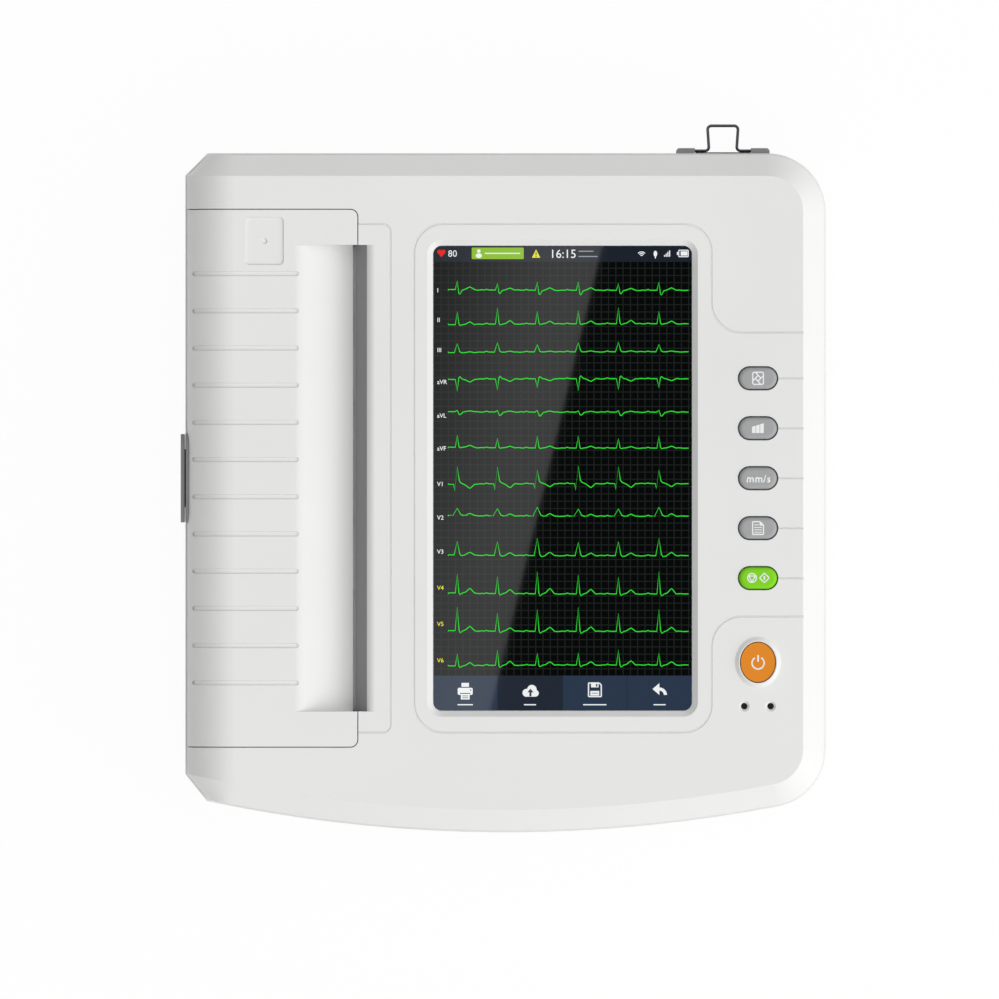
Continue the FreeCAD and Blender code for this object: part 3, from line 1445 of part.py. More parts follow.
port_rows = ((s.lead_place, s.lead_wide, s.lead_high), (s.usb_place, s.usb_wide, s.usb_high),
             (-s.lan_place, s.lan_wide, s.lan_high))
port_windows = [box((right_face - s.wall - OVER, right_face + OVER),
                    (row - wide / 2 - s.port_gap, row + wide / 2 + s.port_gap),
                    (port_z - high / 2 - s.port_gap, port_z + high / 2 + s.port_gap))
                for row, wide, high in port_rows]
door_window = plate((door_x[0] - s.door_gap, door_x[1] + s.door_gap),
                    (door_y[0] - s.door_gap, door_y[1] + s.door_gap),
                    (s.foot_height - OVER, floor_top + OVER), s.pack_round + s.door_gap)
door_ledge = cut(plate((battery_x[0] - 3 * s.door_lap, battery_x[1] + 3 * s.door_lap),
                       (battery_y[0] - 2 * s.door_lap, battery_y[1] + 3 * s.door_lap),
                       (floor_top, floor_top + s.door_lip)),
                 plate((battery_x[0] - s.door_gap, battery_x[1] + s.door_gap),
                       (battery_y[0] - s.door_gap, battery_y[1] + s.door_gap),
                       (s.foot_height, floor_top + s.door_lip + OVER), s.pack_round))
hole_pitch = 3 * s.speaker_hole
sound_holes = [rod("Z", (speaker_spot[0] + hole_pitch * across, speaker_spot[1] + hole_pitch * along),
                   s.speaker_hole, s.foot_height - OVER, floor_top + OVER)
               for across in (-1, 0, 1) for along in (-1, 0, 1)]
vents = []
for index in range(int(s.vent_count.number)):
    vent_x = s.vent_place + s.vent_pitch * index
    vents.append(box((vent_x, vent_x + s.vent_wide), (s.vent_row, s.vent_row + s.vent_long),
                     (s.foot_height - OVER, floor_top + OVER)))
tray = cut(lower_solid, lower_core, door_window)
board_stands = [*stands(main_x, main_y), *stands(power_x, power_y)]
tray = fuse(tray, common(fuse(door_ledge, *screw_bosses, *board_stands), lower_solid))
node("lower_case", cut(tray, *foot_pockets, *screw_bores, inlet_window, *port_windows, *sound_holes, *vents))

node("rubber_feet", group(*[rod("Z", spot, s.foot_radius - s.foot_recess, 0 * s.foot_height,
                                s.foot_height + s.foot_recess, s.foot_radius) for spot in foot_spots]))
screws = []
for spot in screw_spots:
    screw_head = rod("Z", spot, s.screw_head_radius, floor_top, head_seat)
    screws.append(fuse(screw_head, rod("Z", spot, s.screw_radius, floor_top, s.split_height + s.screw_tail)))
node("case_screws", group(*screws))

# Check every object, then write one file per sub-part
doc.recompute()
faults = [f"{item.Name} {item.Label} {item.State}" for item in doc.Objects
          if "Invalid" in item.State or "Error" in item.State]
faults += [item.Label for item in nodes if item.Shape.isNull() or not item.Shape.isValid()]
if faults:
    raise RuntimeError("failed objects: " + ", ".join(faults))
for item in nodes:
    item.Shape.exportStep(f"parts/{item.Label}.step")
    print(f"{item.Label:22s} solids {len(item.Shape.Solids):2d} volume {item.Shape.Volume:10.1f}")
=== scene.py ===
"""Looks of a portable ECG machine: finishes of its parts, the picture on its screen, its key signs and the studio."""
import logging
import math
from dataclasses import dataclass, field
from enum import Enum
from functools import lru_cache
from typing import Any, Iterable, Sequence, Union

import bmesh
import bpy
from mathutils import Matrix, Vector

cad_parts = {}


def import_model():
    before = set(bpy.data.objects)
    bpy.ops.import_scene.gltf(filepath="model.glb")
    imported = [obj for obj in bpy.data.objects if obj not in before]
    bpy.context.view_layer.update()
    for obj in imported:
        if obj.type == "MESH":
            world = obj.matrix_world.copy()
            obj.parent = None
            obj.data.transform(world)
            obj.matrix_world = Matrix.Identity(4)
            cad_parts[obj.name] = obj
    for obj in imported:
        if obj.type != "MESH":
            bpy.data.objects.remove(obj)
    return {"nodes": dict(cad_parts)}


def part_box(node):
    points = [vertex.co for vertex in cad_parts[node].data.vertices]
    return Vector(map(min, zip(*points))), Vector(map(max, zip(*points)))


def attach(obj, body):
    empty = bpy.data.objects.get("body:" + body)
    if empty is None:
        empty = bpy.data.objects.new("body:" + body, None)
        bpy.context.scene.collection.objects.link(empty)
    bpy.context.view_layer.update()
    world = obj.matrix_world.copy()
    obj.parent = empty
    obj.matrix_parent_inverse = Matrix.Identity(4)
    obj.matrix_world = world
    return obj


LOG = logging.getLogger("ecg_machine")
MM = 0.001
Colour = tuple[float, float, float, float]
Point = tuple[float, float]
WHITE: Colour = (1.0, 1.0, 1.0, 1.0)


def ink(red: int, green: int, blue: int) -> Colour:
    """Turn a screen colour into the linear one that a shader takes.

    Args:
        red, green, blue: parts of the colour from 0 to 255.

    Returns:
        The linear colour, with full alpha.
    """
    parts = [part / 255 for part in (red, green, blue)]
    linear = [p / 12.92 if p <= 0.04045 else ((p + 0.055) / 1.055) ** 2.4 for p in parts]
    return (linear[0], linear[1], linear[2], 1.0)


def shade(colour: Colour, factor: float) -> Colour:
    """Return a colour made lighter or darker by a factor."""
    return (colour[0] * factor, colour[1] * factor, colour[2] * factor, 1.0)


class Wire:
    """Output of a shader node; sums on it add Math nodes."""

    def __init__(self, nodes: "Nodes", socket: bpy.types.NodeSocket) -> None:
        """Keep the socket and the tree that it belongs to."""
        self.nodes = nodes
        self.socket = socket

    def math(self, operation: str, *values: "Value") -> "Wire":
        """Return the result of one Math node on the values given."""
        return self.nodes.add("ShaderNodeMath", {"operation": operation}, dict(enumerate(values)))

    def __add__(self, other: "Value") -> "Wire":
        """Return the sum."""
        return self.math("ADD", self, other)

    def __sub__(self, other: "Value") -> "Wire":
        """Return the difference."""
        return self.math("SUBTRACT", self, other)

    def __rsub__(self, other: "Value") -> "Wire":
        """Return the difference from a value on the left."""
        return self.math("SUBTRACT", other, self)

    def __mul__(self, other: "Value") -> "Wire":
        """Return the product."""
        return self.math("MULTIPLY", self, other)

    def __truediv__(self, other: "Value") -> "Wire":
        """Return the quotient."""
        return self.math("DIVIDE", self, other)

    def __mod__(self, other: "Value") -> "Wire":
        """Return what is left over from whole steps, never below zero."""
        return self.math("FLOORED_MODULO", self, other)

    def __gt__(self, other: "Value") -> "Wire":
        """Return one where this is more, and zero elsewhere."""
        return self.math("GREATER_THAN", self, other)

    def __lt__(self, other: "Value") -> "Wire":
        """Return one where this is less, and zero elsewhere."""
        return self.math("LESS_THAN", self, other)

    def __abs__(self) -> "Wire":
        """Return the size without its sign."""
        return self.math("ABSOLUTE", self)

    def most(self, other: "Value") -> "Wire":
        """Return the larger of the two."""
        return self.math("MAXIMUM", self, other)

    def least(self, other: "Value") -> "Wire":
        """Return the smaller of the two."""
        return self.math("MINIMUM", self, other)

    def root(self) -> "Wire":
        """Return the square root."""
        return self.math("SQRT", self)

    def angle(self, across: "Wire") -> "Wire":
        """Return the angle of a point that is this far up and so far across."""
        return self.math("ARCTAN2", self, across)

    __radd__ = __add__
    __rmul__ = __mul__


Value = Union[Wire, float]


class Nodes:
    """Node tree of one material or of the world."""

    def __init__(self, tree: bpy.types.NodeTree) -> None:
        """Take over a tree and empty it."""
        self.tree = tree
        tree.nodes.clear()

    def add(self, kind: str, settings: dict[str, Any] | None = None,
            sockets: dict[Any, Any] | None = None, out: int | str = 0) -> Wire | None:
        """Add one node.

        Args:
            kind: type of the node.
            settings: properties that are set first.
            sockets: values or wires of its inputs, by name or number.
            out: the output that is wanted.

        Returns:
            The wanted output, or None where the node has none.
        """
        node = self.tree.nodes.new(kind)
        for key, value in (settings or {}).items():
            setattr(node, key, value)
        for key, value in (sockets or {}).items():
            if isinstance(value, Wire):
                self.tree.links.new(value.socket, node.inputs[key])
            else:
                node.inputs[key].default_value = value
        return Wire(self, node.outputs[out]) if node.outputs else None

    def place(self) -> Wire:
        """Return the point on the object, in metres."""
        return self.add("ShaderNodeTexCoord", out="Object")

    def axes(self) -> tuple[Wire, Wire, Wire]:
        """Return the three coordinates of the point."""
        place = self.place()
        return tuple(self.add("ShaderNodeSeparateXYZ", None, {0: place}, axis) for axis in "XYZ")

    def noise(self, scale: float, detail: float = 2.0, stretch: Sequence[float] = (1, 1, 1)) -> Wire:
        """Return noise from 0 to 1.

        Args:
            scale: lumps in a metre.
            detail: octaves.
            stretch: how much finer it is along each axis.

        Returns:
            The noise.
        """
        place = self.add("ShaderNodeMapping", None, {"Vector": self.place(), "Scale": tuple(stretch)})
        return self.add("ShaderNodeTexNoise", None, {"Vector": place, "Scale": scale, "Detail": detail})

    def mix(self, factor: Value, first: Any, second: Any) -> Wire:
        """Return the first colour where the factor is 0 and the second where it is 1."""
        return self.add("ShaderNodeMix", {"data_type": "RGBA"}, {0: factor, 6: first, 7: second}, 2)

    def step(self, value: Wire, low: float, high: float) -> Wire:
        """Return a smooth step from 0 at low to 1 at high."""
        return self.add("ShaderNodeMapRange", {"interpolation_type": "SMOOTHSTEP"},
                        {"Value": value, "From Min": low, "From Max": high})

    def edge(self, radius: float) -> tuple[Wire, Wire]:
        """Round the edges in the shading.

        Args:
            radius: of the edges.

        Returns:
            The rounded normal, and a mask that is 1 along the edges.
        """
        rounded = self.add("ShaderNodeBevel", {"samples": 4}, {"Radius": radius})
        flat = self.add("ShaderNodeNewGeometry", out="True Normal")
        same = self.add("ShaderNodeVectorMath", {"operation": "DOT_PRODUCT"}, {0: rounded, 1: flat}, "Value")
        return rounded, self.step(1.0 - same, 0.02, 0.35)

    def bump(self, height: Wire, strength: float, distance: float, normal: Wire | None = None) -> Wire:
        """Bump a normal by a height.

        Args:
            height: from 0 to 1.
            strength: of the bump.
            distance: in metres, for a height of 1.
            normal: the one that is bumped, if it isn't the surface's own.

        Returns:
            The bumped normal.
        """
        sockets = {"Height": height, "Strength": strength, "Distance": distance}
        if normal is not None:
            sockets["Normal"] = normal
        return self.add("ShaderNodeBump", None, sockets)

    def surface(self, sockets: dict[str, Any]) -> None:
        """End the tree in a principled shader with these sockets."""
        self.close(self.add("ShaderNodeBsdfPrincipled", None, sockets))

    def close(self, shader: Wire, kind: str = "ShaderNodeOutputMaterial") -> None:
        """Lead a shader to the output."""
        self.add(kind, None, {"Surface": shader})


@dataclass(frozen=True)
class Finish:
    """Look of one material."""

    name: str
    colour: Colour
    roughness: float = 0.45

    def make(self) -> bpy.types.Material:
        """Make a material with this look.

        Returns:
            The new material.
        """
        material = bpy.data.materials.new(self.name)
        material.use_nodes = True
        material.diffuse_color = self.colour
        self.wire(Nodes(material.node_tree))
        return material

    def wire(self, nodes: Nodes) -> None:
        """Lay out the nodes of the look.

        Args:
            nodes: tree of the material.
        """
        raise NotImplementedError


@dataclass(frozen=True)
class MouldedPlastic(Finish):
    """Plastic with the fine grain of an eroded mould, faint clouds and edges that are rubbed smooth.

    Its tones are those of the dark clouds, the light clouds and the edges, as factors of the colour.
    """

    grain: float = 2600.0
    relief: float = 0.10
    depth: float = 0.06 * MM
    edge_radius: float = 0.35 * MM
    clouds: float = 11.0
    rubs: float = 240.0
    tones: tuple[float, float, float] = (0.965, 1.03, 1.12)
    edge_share: float = 0.3
    uneven: float = 0.16
    smoothed: float = 0.08
    coat: float = 0.0
    coat_roughness: float = 0.2
    gloss: float = 0.5

    def wire(self, nodes: Nodes) -> None:
        """Lay out the nodes of the look.

        Args:
            nodes: tree of the material.
        """
        normal, worn = nodes.edge(self.edge_radius)
        dark, light, edge = (shade(self.colour, tone) for tone in self.tones)
        cloudy = nodes.mix(nodes.noise(self.clouds, 3.0), dark, light)
        rub = nodes.noise(self.rubs, 4.0, (1, 0.25, 1))
        nodes.surface({
            "Base Color": nodes.mix(worn * self.edge_share, cloudy, edge),
            "Roughness": self.roughness + (rub - 0.5) * self.uneven - worn * self.smoothed,
            "Normal": nodes.bump(nodes.noise(self.grain, 3.0), self.relief, self.depth, normal),
            "Specular IOR Level": self.gloss, "Coat Weight": self.coat, "Coat Roughness": self.coat_roughness,
        })


@dataclass(frozen=True)
class BrushedMetal(Finish):
    """Metal with fine lines along one axis and a little tarnish.

    Its tones are those of the tarnish and the edges, as factors of the colour.
    """

    lines: tuple[float, float, float] = (1, 30, 30)
    line_scale: float = 90.0
    patches: float = 45.0
    tones: tuple[float, float] = (0.62, 1.1)
    uneven: float = 0.22
    dulled: float = 0.1
    relief: float = 0.12
    depth: float = 0.05 * MM
    edge_radius: float = 0.2 * MM

    def wire(self, nodes: Nodes) -> None:
        """Lay out the nodes of the look.

        Args:
            nodes: tree of the material.
        """
        normal, worn = nodes.edge(self.edge_radius)
        lines = nodes.noise(self.line_scale, 4.0, self.lines)
        tarnish = nodes.step(nodes.noise(self.patches, 4.0), 0.45, 0.8)
        dull, edge = (shade(self.colour, tone) for tone in self.tones)
        nodes.surface({
            "Base Color": nodes.mix(worn * 0.5, nodes.mix(tarnish * 0.5, self.colour, dull), edge),
            "Metallic": 1.0,
            "Roughness": self.roughness + (lines - 0.5) * self.uneven + tarnish * self.dulled,
            "Normal": nodes.bump(lines, self.relief, self.depth, normal),
        })


@dataclass(frozen=True)
class Rubber(Finish):
    """Dull rubber with a pebbled skin and patches of dust."""

    pebble: float = 1500.0
    relief: float = 0.25
    depth: float = 0.08 * MM
    edge_radius: float = 0.3 * MM
    edge_tone: float = 1.6
    dust: Colour = ink(120, 118, 112)
    patches: float = 60.0

    def wire(self, nodes: Nodes) -> None:
        """Lay out the nodes of the look.

        Args:
            nodes: tree of the material.
        """
        normal, worn = nodes.edge(self.edge_radius)
        skin = nodes.add("ShaderNodeTexVoronoi", None, {"Vector": nodes.place(), "Scale": self.pebble}, "Distance")
        dust = nodes.step(nodes.noise(self.patches, 4.0), 0.5, 0.85)
        tone = nodes.mix(dust * 0.35, self.colour, self.dust)
        nodes.surface({
            "Base Color": nodes.mix(worn * 0.25, tone, shade(self.colour, self.edge_tone)),
            "Roughness": self.roughness + dust * 0.12,
            "Normal": nodes.bump(skin, self.relief, self.depth, normal),
        })


@dataclass(frozen=True)
class CircuitBoard(Finish):
    """Board with copper tracks and holes under its lacquer, in cells of one pitch.

    The halves of a track and of a hole are shares of the pitch, and each cell draws a number from 0 to 1: up to
    turned its track runs across, from tracked on it has none, and from holed on it has a hole.
    """

    pitch: float = 1.6 * MM
    track_half: float = 0.14
    hole_half: float = 0.24
    turned: float = 0.45
    tracked: float = 0.86
    holed: float = 0.9
    raised_tone: float = 2.1
    copper: Colour = ink(205, 170, 90)
    relief: float = 0.3
    depth: float = 0.05 * MM

    def wire(self, nodes: Nodes) -> None:
        """Lay out the nodes of the look.

        Args:
            nodes: tree of the material.
        """
        grid = nodes.add("ShaderNodeVectorMath", {"operation": "SCALE"},
                         {0: nodes.place(), "Scale": 1 / self.pitch})
        cell = nodes.add("ShaderNodeVectorMath", {"operation": "FLOOR"}, {0: grid})
        inside = nodes.add("ShaderNodeVectorMath", {"operation": "FRACTION"}, {0: grid})
        chance = nodes.add("ShaderNodeTexWhiteNoise", None, {"Vector": cell})
        x, y = (abs(nodes.add("ShaderNodeSeparateXYZ", None, {0: inside}, axis) - 0.5) for axis in "XY")
        along = chance > self.turned
        tracks = ((x < self.track_half) * along + (y < self.track_half) * (1.0 - along)) * (chance < self.tracked)
        holes = (x < self.hole_half) * (y < self.hole_half) * (chance > self.holed)
        lacquer = nodes.mix(tracks, self.colour, shade(self.colour, self.raised_tone))
        nodes.surface({
            "Base Color": nodes.mix(holes, lacquer, self.copper),
            "Metallic": holes * 0.8,
            "Roughness": self.roughness - holes * 0.1,
            "Normal": nodes.bump(tracks + holes, self.relief, self.depth),
        })


@dataclass(frozen=True)
class ChartPaper(Finish):
    """Rolled chart paper: a fine red grid outside and the edges of its turns at the ends."""

    centre: Point = (-112.0 * MM, 29.5 * MM)
    radius: float = 21.0 * MM
    skin: float = 0.3 * MM
    square: float = 5.0 * MM
    parts: int = 5
    turn: float = 0.28 * MM
    fibres: float = 900.0
    red: Colour = ink(226, 120, 110)
    grey: Colour = ink(168, 164, 154)
    relief: float = 0.2
    depth: float = 0.05 * MM

    def wire(self, nodes: Nodes) -> None:
        """Lay out the nodes of the look.

        Args:
            nodes: tree of the material.
        """
        x, y, z = nodes.axes()
        across, up = x - self.centre[0], z - self.centre[1]
        reach = (across * across + up * up).root()
        outside = reach > self.radius - self.skin
        length = up.angle(across) * self.radius
        small = self.square / self.parts
        bold = self.lines(y, self.square, 0.05) + self.lines(length, self.square, 0.05)
        fine = self.lines(y, small, 0.1) + self.lines(length, small, 0.1)
        grid = (bold * 0.55 + fine * 0.22).least(1.0) * outside
        turns = abs(reach % self.turn - self.turn / 2) / self.turn
        fibre = nodes.noise(self.fibres, 4.0)
        edge = (1.0 - outside) * turns
        tone = nodes.mix(edge * 0.6 + fibre * 0.08, self.colour, self.grey)
        nodes.surface({
            "Base Color": nodes.mix(grid, tone, self.red),
            "Roughness": self.roughness + (fibre - 0.5) * 0.2,
            "Normal": nodes.bump(fibre * 0.3 + edge, self.relief, self.depth),
        })

    @staticmethod
    def lines(value: Wire, pitch: float, share: float) -> Wire:
        """Return one on thin lines that repeat at a pitch, and zero between."""
        return (value % pitch) < pitch * share


@dataclass(frozen=True)
class MattInk(Finish):
    """Ink printed on plastic, thin enough to show a little of the grain."""

    patches: float = 1300.0
    thin_tone: float = 0.86
    relief: float = 0.1
    depth: float = 0.02 * MM

    def wire(self, nodes: Nodes) -> None:
        """Lay out the nodes of the look.

        Args:
            nodes: tree of the material.
        """
        patchy = nodes.noise(self.patches, 3.0)
        nodes.surface({
            "Base Color": nodes.mix(patchy * 0.5, self.colour, shade(self.colour, self.thin_tone)),
            "Roughness": self.roughness + (patchy - 0.5) * 0.2,
            "Normal": nodes.bump(patchy, self.relief, self.depth),
        })


@dataclass(frozen=True)
class ScreenGlow(Finish):
    """Lit part of the picture behind the glossy glass, with the rows of its pixels."""

    black: Colour = ink(4, 5, 5)
    row: float = 0.2 * MM
    row_gap: float = 0.2
    gap_tone: float = 0.7
    smears: float = 30.0
    smear: float = 0.03

    def wire(self, nodes: Nodes) -> None:
        """Lay out the nodes of the look.

        Args:
            nodes: tree of the material.
        """
        gaps = (nodes.axes()[1] % self.row) < self.row * self.row_gap
        nodes.surface({
            "Base Color": self.black,
            "Roughness": self.roughness + nodes.noise(self.smears, 3.0) * self.smear,
            "Emission Color": nodes.mix(gaps * 0.4, self.colour, shade(self.colour, self.gap_tone)),
            "Emission Strength": 1.0,
        })


@dataclass(frozen=True)
class DisplayGlass(Finish):
    """Black display glass with a squared field, a status bar at the back and four soft keys in front."""

    left: float = -33.5 * MM
    back: float = 111.2 * MM
    pitch: float = 3.485 * MM
    line: float = 0.5 * MM
    status: float = 7.7 * MM
    soft_keys: float = 205.7 * MM
    dark_key: tuple[float, float] = (30.7 * MM, 62.1 * MM)
    seam: float = 92.8 * MM
    seam_half: float = 0.15 * MM
    smears: float = 24.0
    smear: float = 0.03
    squared: Colour = ink(27, 31, 30)
    key: Colour = ink(42, 55, 74)
    key_dark: Colour = ink(34, 41, 53)
    bar: Colour = ink(27, 33, 43)

    def wire(self, nodes: Nodes) -> None:
        """Lay out the nodes of the look.

        Args:
            nodes: tree of the material.
        """
        x, y, _ = nodes.axes()
        across, down = x - self.left, self.back - y
        squares = ((across % self.pitch) < self.line).most((down % self.pitch) < self.line)
        dark = (across > self.dark_key[0]) * (across < self.dark_key[1])
        seam = abs(across - self.seam) < self.seam_half
        keys = nodes.mix(dark.most(seam), self.key, self.key_dark)
        picture = nodes.mix(down > self.soft_keys, nodes.mix(squares, self.colour, self.squared), keys)
        smear = nodes.step(nodes.noise(self.smears, 4.0), 0.5, 0.9)
        nodes.surface({
            "Base Color": self.colour,
            "Roughness": self.roughness + smear * self.smear,
            "Emission Color": nodes.mix(down < self.status, picture, self.bar),
            "Emission Strength": 1.0,
        })


class Look(Enum):
    """Finishes of the machine's own parts."""

    CASE = MouldedPlastic("case_white", ink(229, 229, 228), 0.46)
    DARK = MouldedPlastic("latch_grey", ink(132, 133, 135), 0.5, grain=1800.0, relief=0.16)
    # tear bar: a real part whose grey is partly painted shade, standing in for the shadow on the trough wall beside the
    # paper slit
    TEAR = MouldedPlastic("tear_bar_grey", ink(134, 134, 135), 0.48)
    GREY = MouldedPlastic("socket_grey", ink(138, 139, 142), 0.5, grain=1900.0, relief=0.14)
    BLACK = MouldedPlastic("black_plastic", ink(34, 34, 36), 0.5, grain=1700.0, relief=0.18)
    NATURAL = MouldedPlastic("natural_acetal", ink(226, 222, 208), 0.38, relief=0.05)
    KEY = MouldedPlastic("key_grey", ink(162, 163, 164), 0.4, relief=0.06, gloss=0.35)
    START = MouldedPlastic("start_green", ink(127, 210, 20), 0.36, relief=0.06, gloss=0.25)
    POWER = MouldedPlastic("power_orange", ink(224, 134, 22), 0.36, relief=0.06, gloss=0.25)
    LENS = MouldedPlastic("indicator_smoke", ink(14, 14, 15), 0.12, relief=0.02, coat=0.6)
    CHIP = MouldedPlastic("chip_black", ink(40, 40, 43), 0.55, grain=3400.0, relief=0.2)
    WRAP = MouldedPlastic("battery_wrap", ink(66, 96, 150), 0.3, grain=900.0, relief=0.05, coat=0.4)
    STEEL = BrushedMetal("plated_steel", ink(190, 191, 193), 0.34)
    WIRE = BrushedMetal("drawn_wire", ink(86, 88, 92), 0.36, lines=(30, 30, 1))
    ALUMINIUM = BrushedMetal("milled_aluminium", ink(206, 208, 210), 0.4, lines=(30, 1, 30))
    BRASS = BrushedMetal("turned_brass", ink(205, 172, 98), 0.3, lines=(30, 1, 30))
    RUBBER = Rubber("black_rubber", ink(38, 38, 39), 0.78)
    MAT = Rubber("key_mat_silicone", ink(176, 178, 176), 0.7, pebble=2200.0)
    BOARD = CircuitBoard("green_board", ink(26, 84, 52), 0.34)
    PAPER = ChartPaper("chart_paper", ink(240, 239, 234), 0.6)
    CARD = Rubber("grey_card", ink(158, 138, 108), 0.85, pebble=900.0)
    GLASS = DisplayGlass("display_glass", ink(4, 5, 5), 0.02)
    GOLD = BrushedMetal("contact_gold", ink(214, 178, 92), 0.28, lines=(30, 30, 30))
    # near-black film: painted shade standing in for the darkness inside pin holes and screw slots
    HOLE = MattInk("contact_hole", ink(14, 14, 15), 0.7)
    PLATE = BrushedMetal("bare_plate", ink(196, 198, 200), 0.42, lines=(1, 30, 30))


@lru_cache(maxsize=None)
def material_of(finish: Finish) -> bpy.types.Material:
    """Return the one material of a finish."""
    return finish.make()


def mesh_of(curve: bpy.types.Curve) -> bpy.types.Mesh:
    """Turn a curve or text into a mesh.

    Args:
        curve: the curve; it is removed.

    Returns:
        The mesh.
    """
    holder = bpy.data.objects.new(curve.name, curve)
    bpy.context.scene.collection.objects.link(holder)
    mesh = bpy.data.meshes.new_from_object(holder.evaluated_get(bpy.context.evaluated_depsgraph_get()))
    bpy.data.objects.remove(holder)
    bpy.data.curves.remove(curve)
    return mesh


class Facing(Enum):
    """Way in which a film faces, as the turn from one that lies on top."""

    UP = Matrix.Identity(4)
    DOWN = Matrix.Rotation(math.pi, 4, "X")
    RIGHT = Matrix(((0, 0, 1, 0), (1, 0, 0, 0), (0, 1, 0, 0), (0, 0, 0, 1)))


class Stencil:
    """Flat figures of one colour, cut from a film that lies on a flat surface.

    Figures that cross have tops of slightly different heights, because level ones would shade each other. The
    capital is the height of a capital letter as a share of the font's size.
    """

    film: float = 0.05 * MM
    step: float = 0.01 * MM
    steps: int = 8
    merge: float = 0.001 * MM
    corner_steps: int = 4
    arc_step: float = 9.0
    arc_least: int = 6
    letter_steps: int = 3
    capital: float = 0.72

    def __init__(self, name: str, origin: Sequence[float], flip: bool = False, facing: Facing = Facing.UP,
                 layer: int = 0) -> None:
        """Start an empty film.

        Args:
            name: of the piece.
            origin: point from which the figures are measured, in metres.
            flip: whether the second axis of the figures runs towards the front.
            facing: way in which the film faces.
            layer: how many films lie under it.
        """
        self.name = name
        self.layer = layer
        self.figures = 0
        self.sign = -1.0 if flip else 1.0
        self.place = Matrix.Translation(origin) @ facing.value @ Matrix.Diagonal((1, self.sign, 1, 1))
        self.mesh = bmesh.new()

    def rise(self) -> float:
        """Return the height of the next figure's top above the film."""
        self.figures += 1
        return (self.layer * self.steps + self.figures % self.steps) * self.step

    def patch(self, points: Iterable[Point]) -> None:
        """Add a face through a few points, in millimetres."""
        rise = self.rise()
        self.mesh.faces.new([self.mesh.verts.new((x * MM, y * MM, rise)) for x, y in points])

    def bar(self, x: float, y: float, wide: float, high: float, turn: float = 0.0, round_: float = 0.0) -> None:
        """Add a bar about its middle.

        Args:
            x, y: its middle.
            wide, high: its sides.
            turn: degrees by which it is turned.
            round_: radius of its corners.
        """
        corners = bmesh.ops.create_grid(self.mesh, x_segments=1, y_segments=1, size=0.5 * MM)["verts"]
        place = (Matrix.Translation((x * MM, y * MM, self.rise())) @ Matrix.Rotation(math.radians(turn), 4, "Z")
                 @ Matrix.Diagonal((wide, high, 1, 1)))
        bmesh.ops.transform(self.mesh, matrix=place, verts=corners)
        if round_:
            bmesh.ops.bevel(self.mesh, geom=corners, offset=round_ * MM, offset_type="OFFSET",
                            segments=self.corner_steps, profile=0.5, material=-1, affect="VERTICES")

    def stroke(self, start: Point, end: Point, width: float) -> None:
        """Add a straight line between two points."""
        across, up = end[0] - start[0], end[1] - start[1]
        self.bar((start[0] + end[0]) / 2, (start[1] + end[1]) / 2, math.hypot(across, up), width,
                 math.degrees(math.atan2(up, across)))

    def loop(self, points: Sequence[Point], width: float) -> None:
        """Add the outline of a figure as straight lines."""
        for start, end in zip(points, [*points[1:], points[0]]):
            self.stroke(start, end, width)

    def disc(self, x: float, y: float, radius: float, stretch: float = 1.0, sides: int = 24) -> None:
        """Add a disc, or an oval by stretching it along the second axis."""
        place = Matrix.Translation((x * MM, y * MM, self.rise())) @ Matrix.Diagonal((1, stretch, 1, 1))
        bmesh.ops.create_circle(self.mesh, cap_ends=True, segments=sides, radius=radius * MM, matrix=place)

    def arc(self, x: float, y: float, radius: float, width: float, start: float = 0.0, turn: float = 360.0) -> None:
        """Add a bent line, or a whole ring.

        Args:
            x, y: its centre.
            radius: to the middle of the line.
            width: of the line.
            start, turn: where it starts and how far it runs, in degrees.
        """
        way = Vector((math.cos(math.radians(start)), math.sin(math.radians(start)), 0)) * MM
        centre = Vector((x * MM, y * MM, self.rise()))
        ends = [self.mesh.verts.new(centre + way * (radius + width * side)) for side in (-0.5, 0.5)]
        edge = self.mesh.edges.new(ends)
        bmesh.ops.spin(self.mesh, geom=[*ends, edge], cent=centre, axis=(0, 0, 1), angle=math.radians(turn),
                       steps=max(self.arc_least, int(turn / self.arc_step)), use_merge=turn >= 360.0)

    def words(self, text: str, x: float, y: float, high: float, middle: bool = False, bold: float = 0.0,
              spread: float = 1.0) -> None:
        """Add plain letters or numbers.

        Args:
            text: to write.
            x, y: left end or middle of the line, half way up the letters.
            high: height of the capitals.
            middle: whether x is the middle.
            bold: how much the letters are swollen.
            spread: how far apart they stand.
        """
        curve = bpy.data.curves.new("letters", "FONT")
        curve.body = text
        curve.size = high / self.capital
        curve.align_x = "CENTER" if middle else "LEFT"
        curve.offset = bold
        curve.space_character = spread
        curve.resolution_u = self.letter_steps
        flat = mesh_of(curve)
        flat.transform(Matrix.Translation((x * MM, (y - self.sign * high / 2) * MM, self.rise()))
                       @ Matrix.Diagonal((MM, self.sign * MM, 1, 1)))
        self.mesh.from_mesh(flat)
        bpy.data.meshes.remove(flat)

    def lay(self, body: str, slot: str, finish: Finish) -> bpy.types.Object:
        """Give the film its thickness and lay it on its surface.

        Args:
            body: CAD body that it rides on.
            slot: material slot of the record; not used.
            finish: its look.

        Returns:
            The finished piece.
        """
        bmesh.ops.remove_doubles(self.mesh, verts=self.mesh.verts[:], dist=self.merge)
        bases = self.mesh.verts[:]
        raised = bmesh.ops.extrude_face_region(self.mesh, geom=self.mesh.faces[:])["geom"]
        tops = [item for item in raised if isinstance(item, bmesh.types.BMVert)]
        bmesh.ops.translate(self.mesh, verts=tops, vec=(0, 0, self.film))
        bmesh.ops.scale(self.mesh, verts=bases, vec=(1, 1, 0))
        bmesh.ops.transform(self.mesh, matrix=self.place, verts=self.mesh.verts[:])
        bmesh.ops.recalc_face_normals(self.mesh, faces=self.mesh.faces[:])
        return settle(self.mesh, self.name, body, finish)


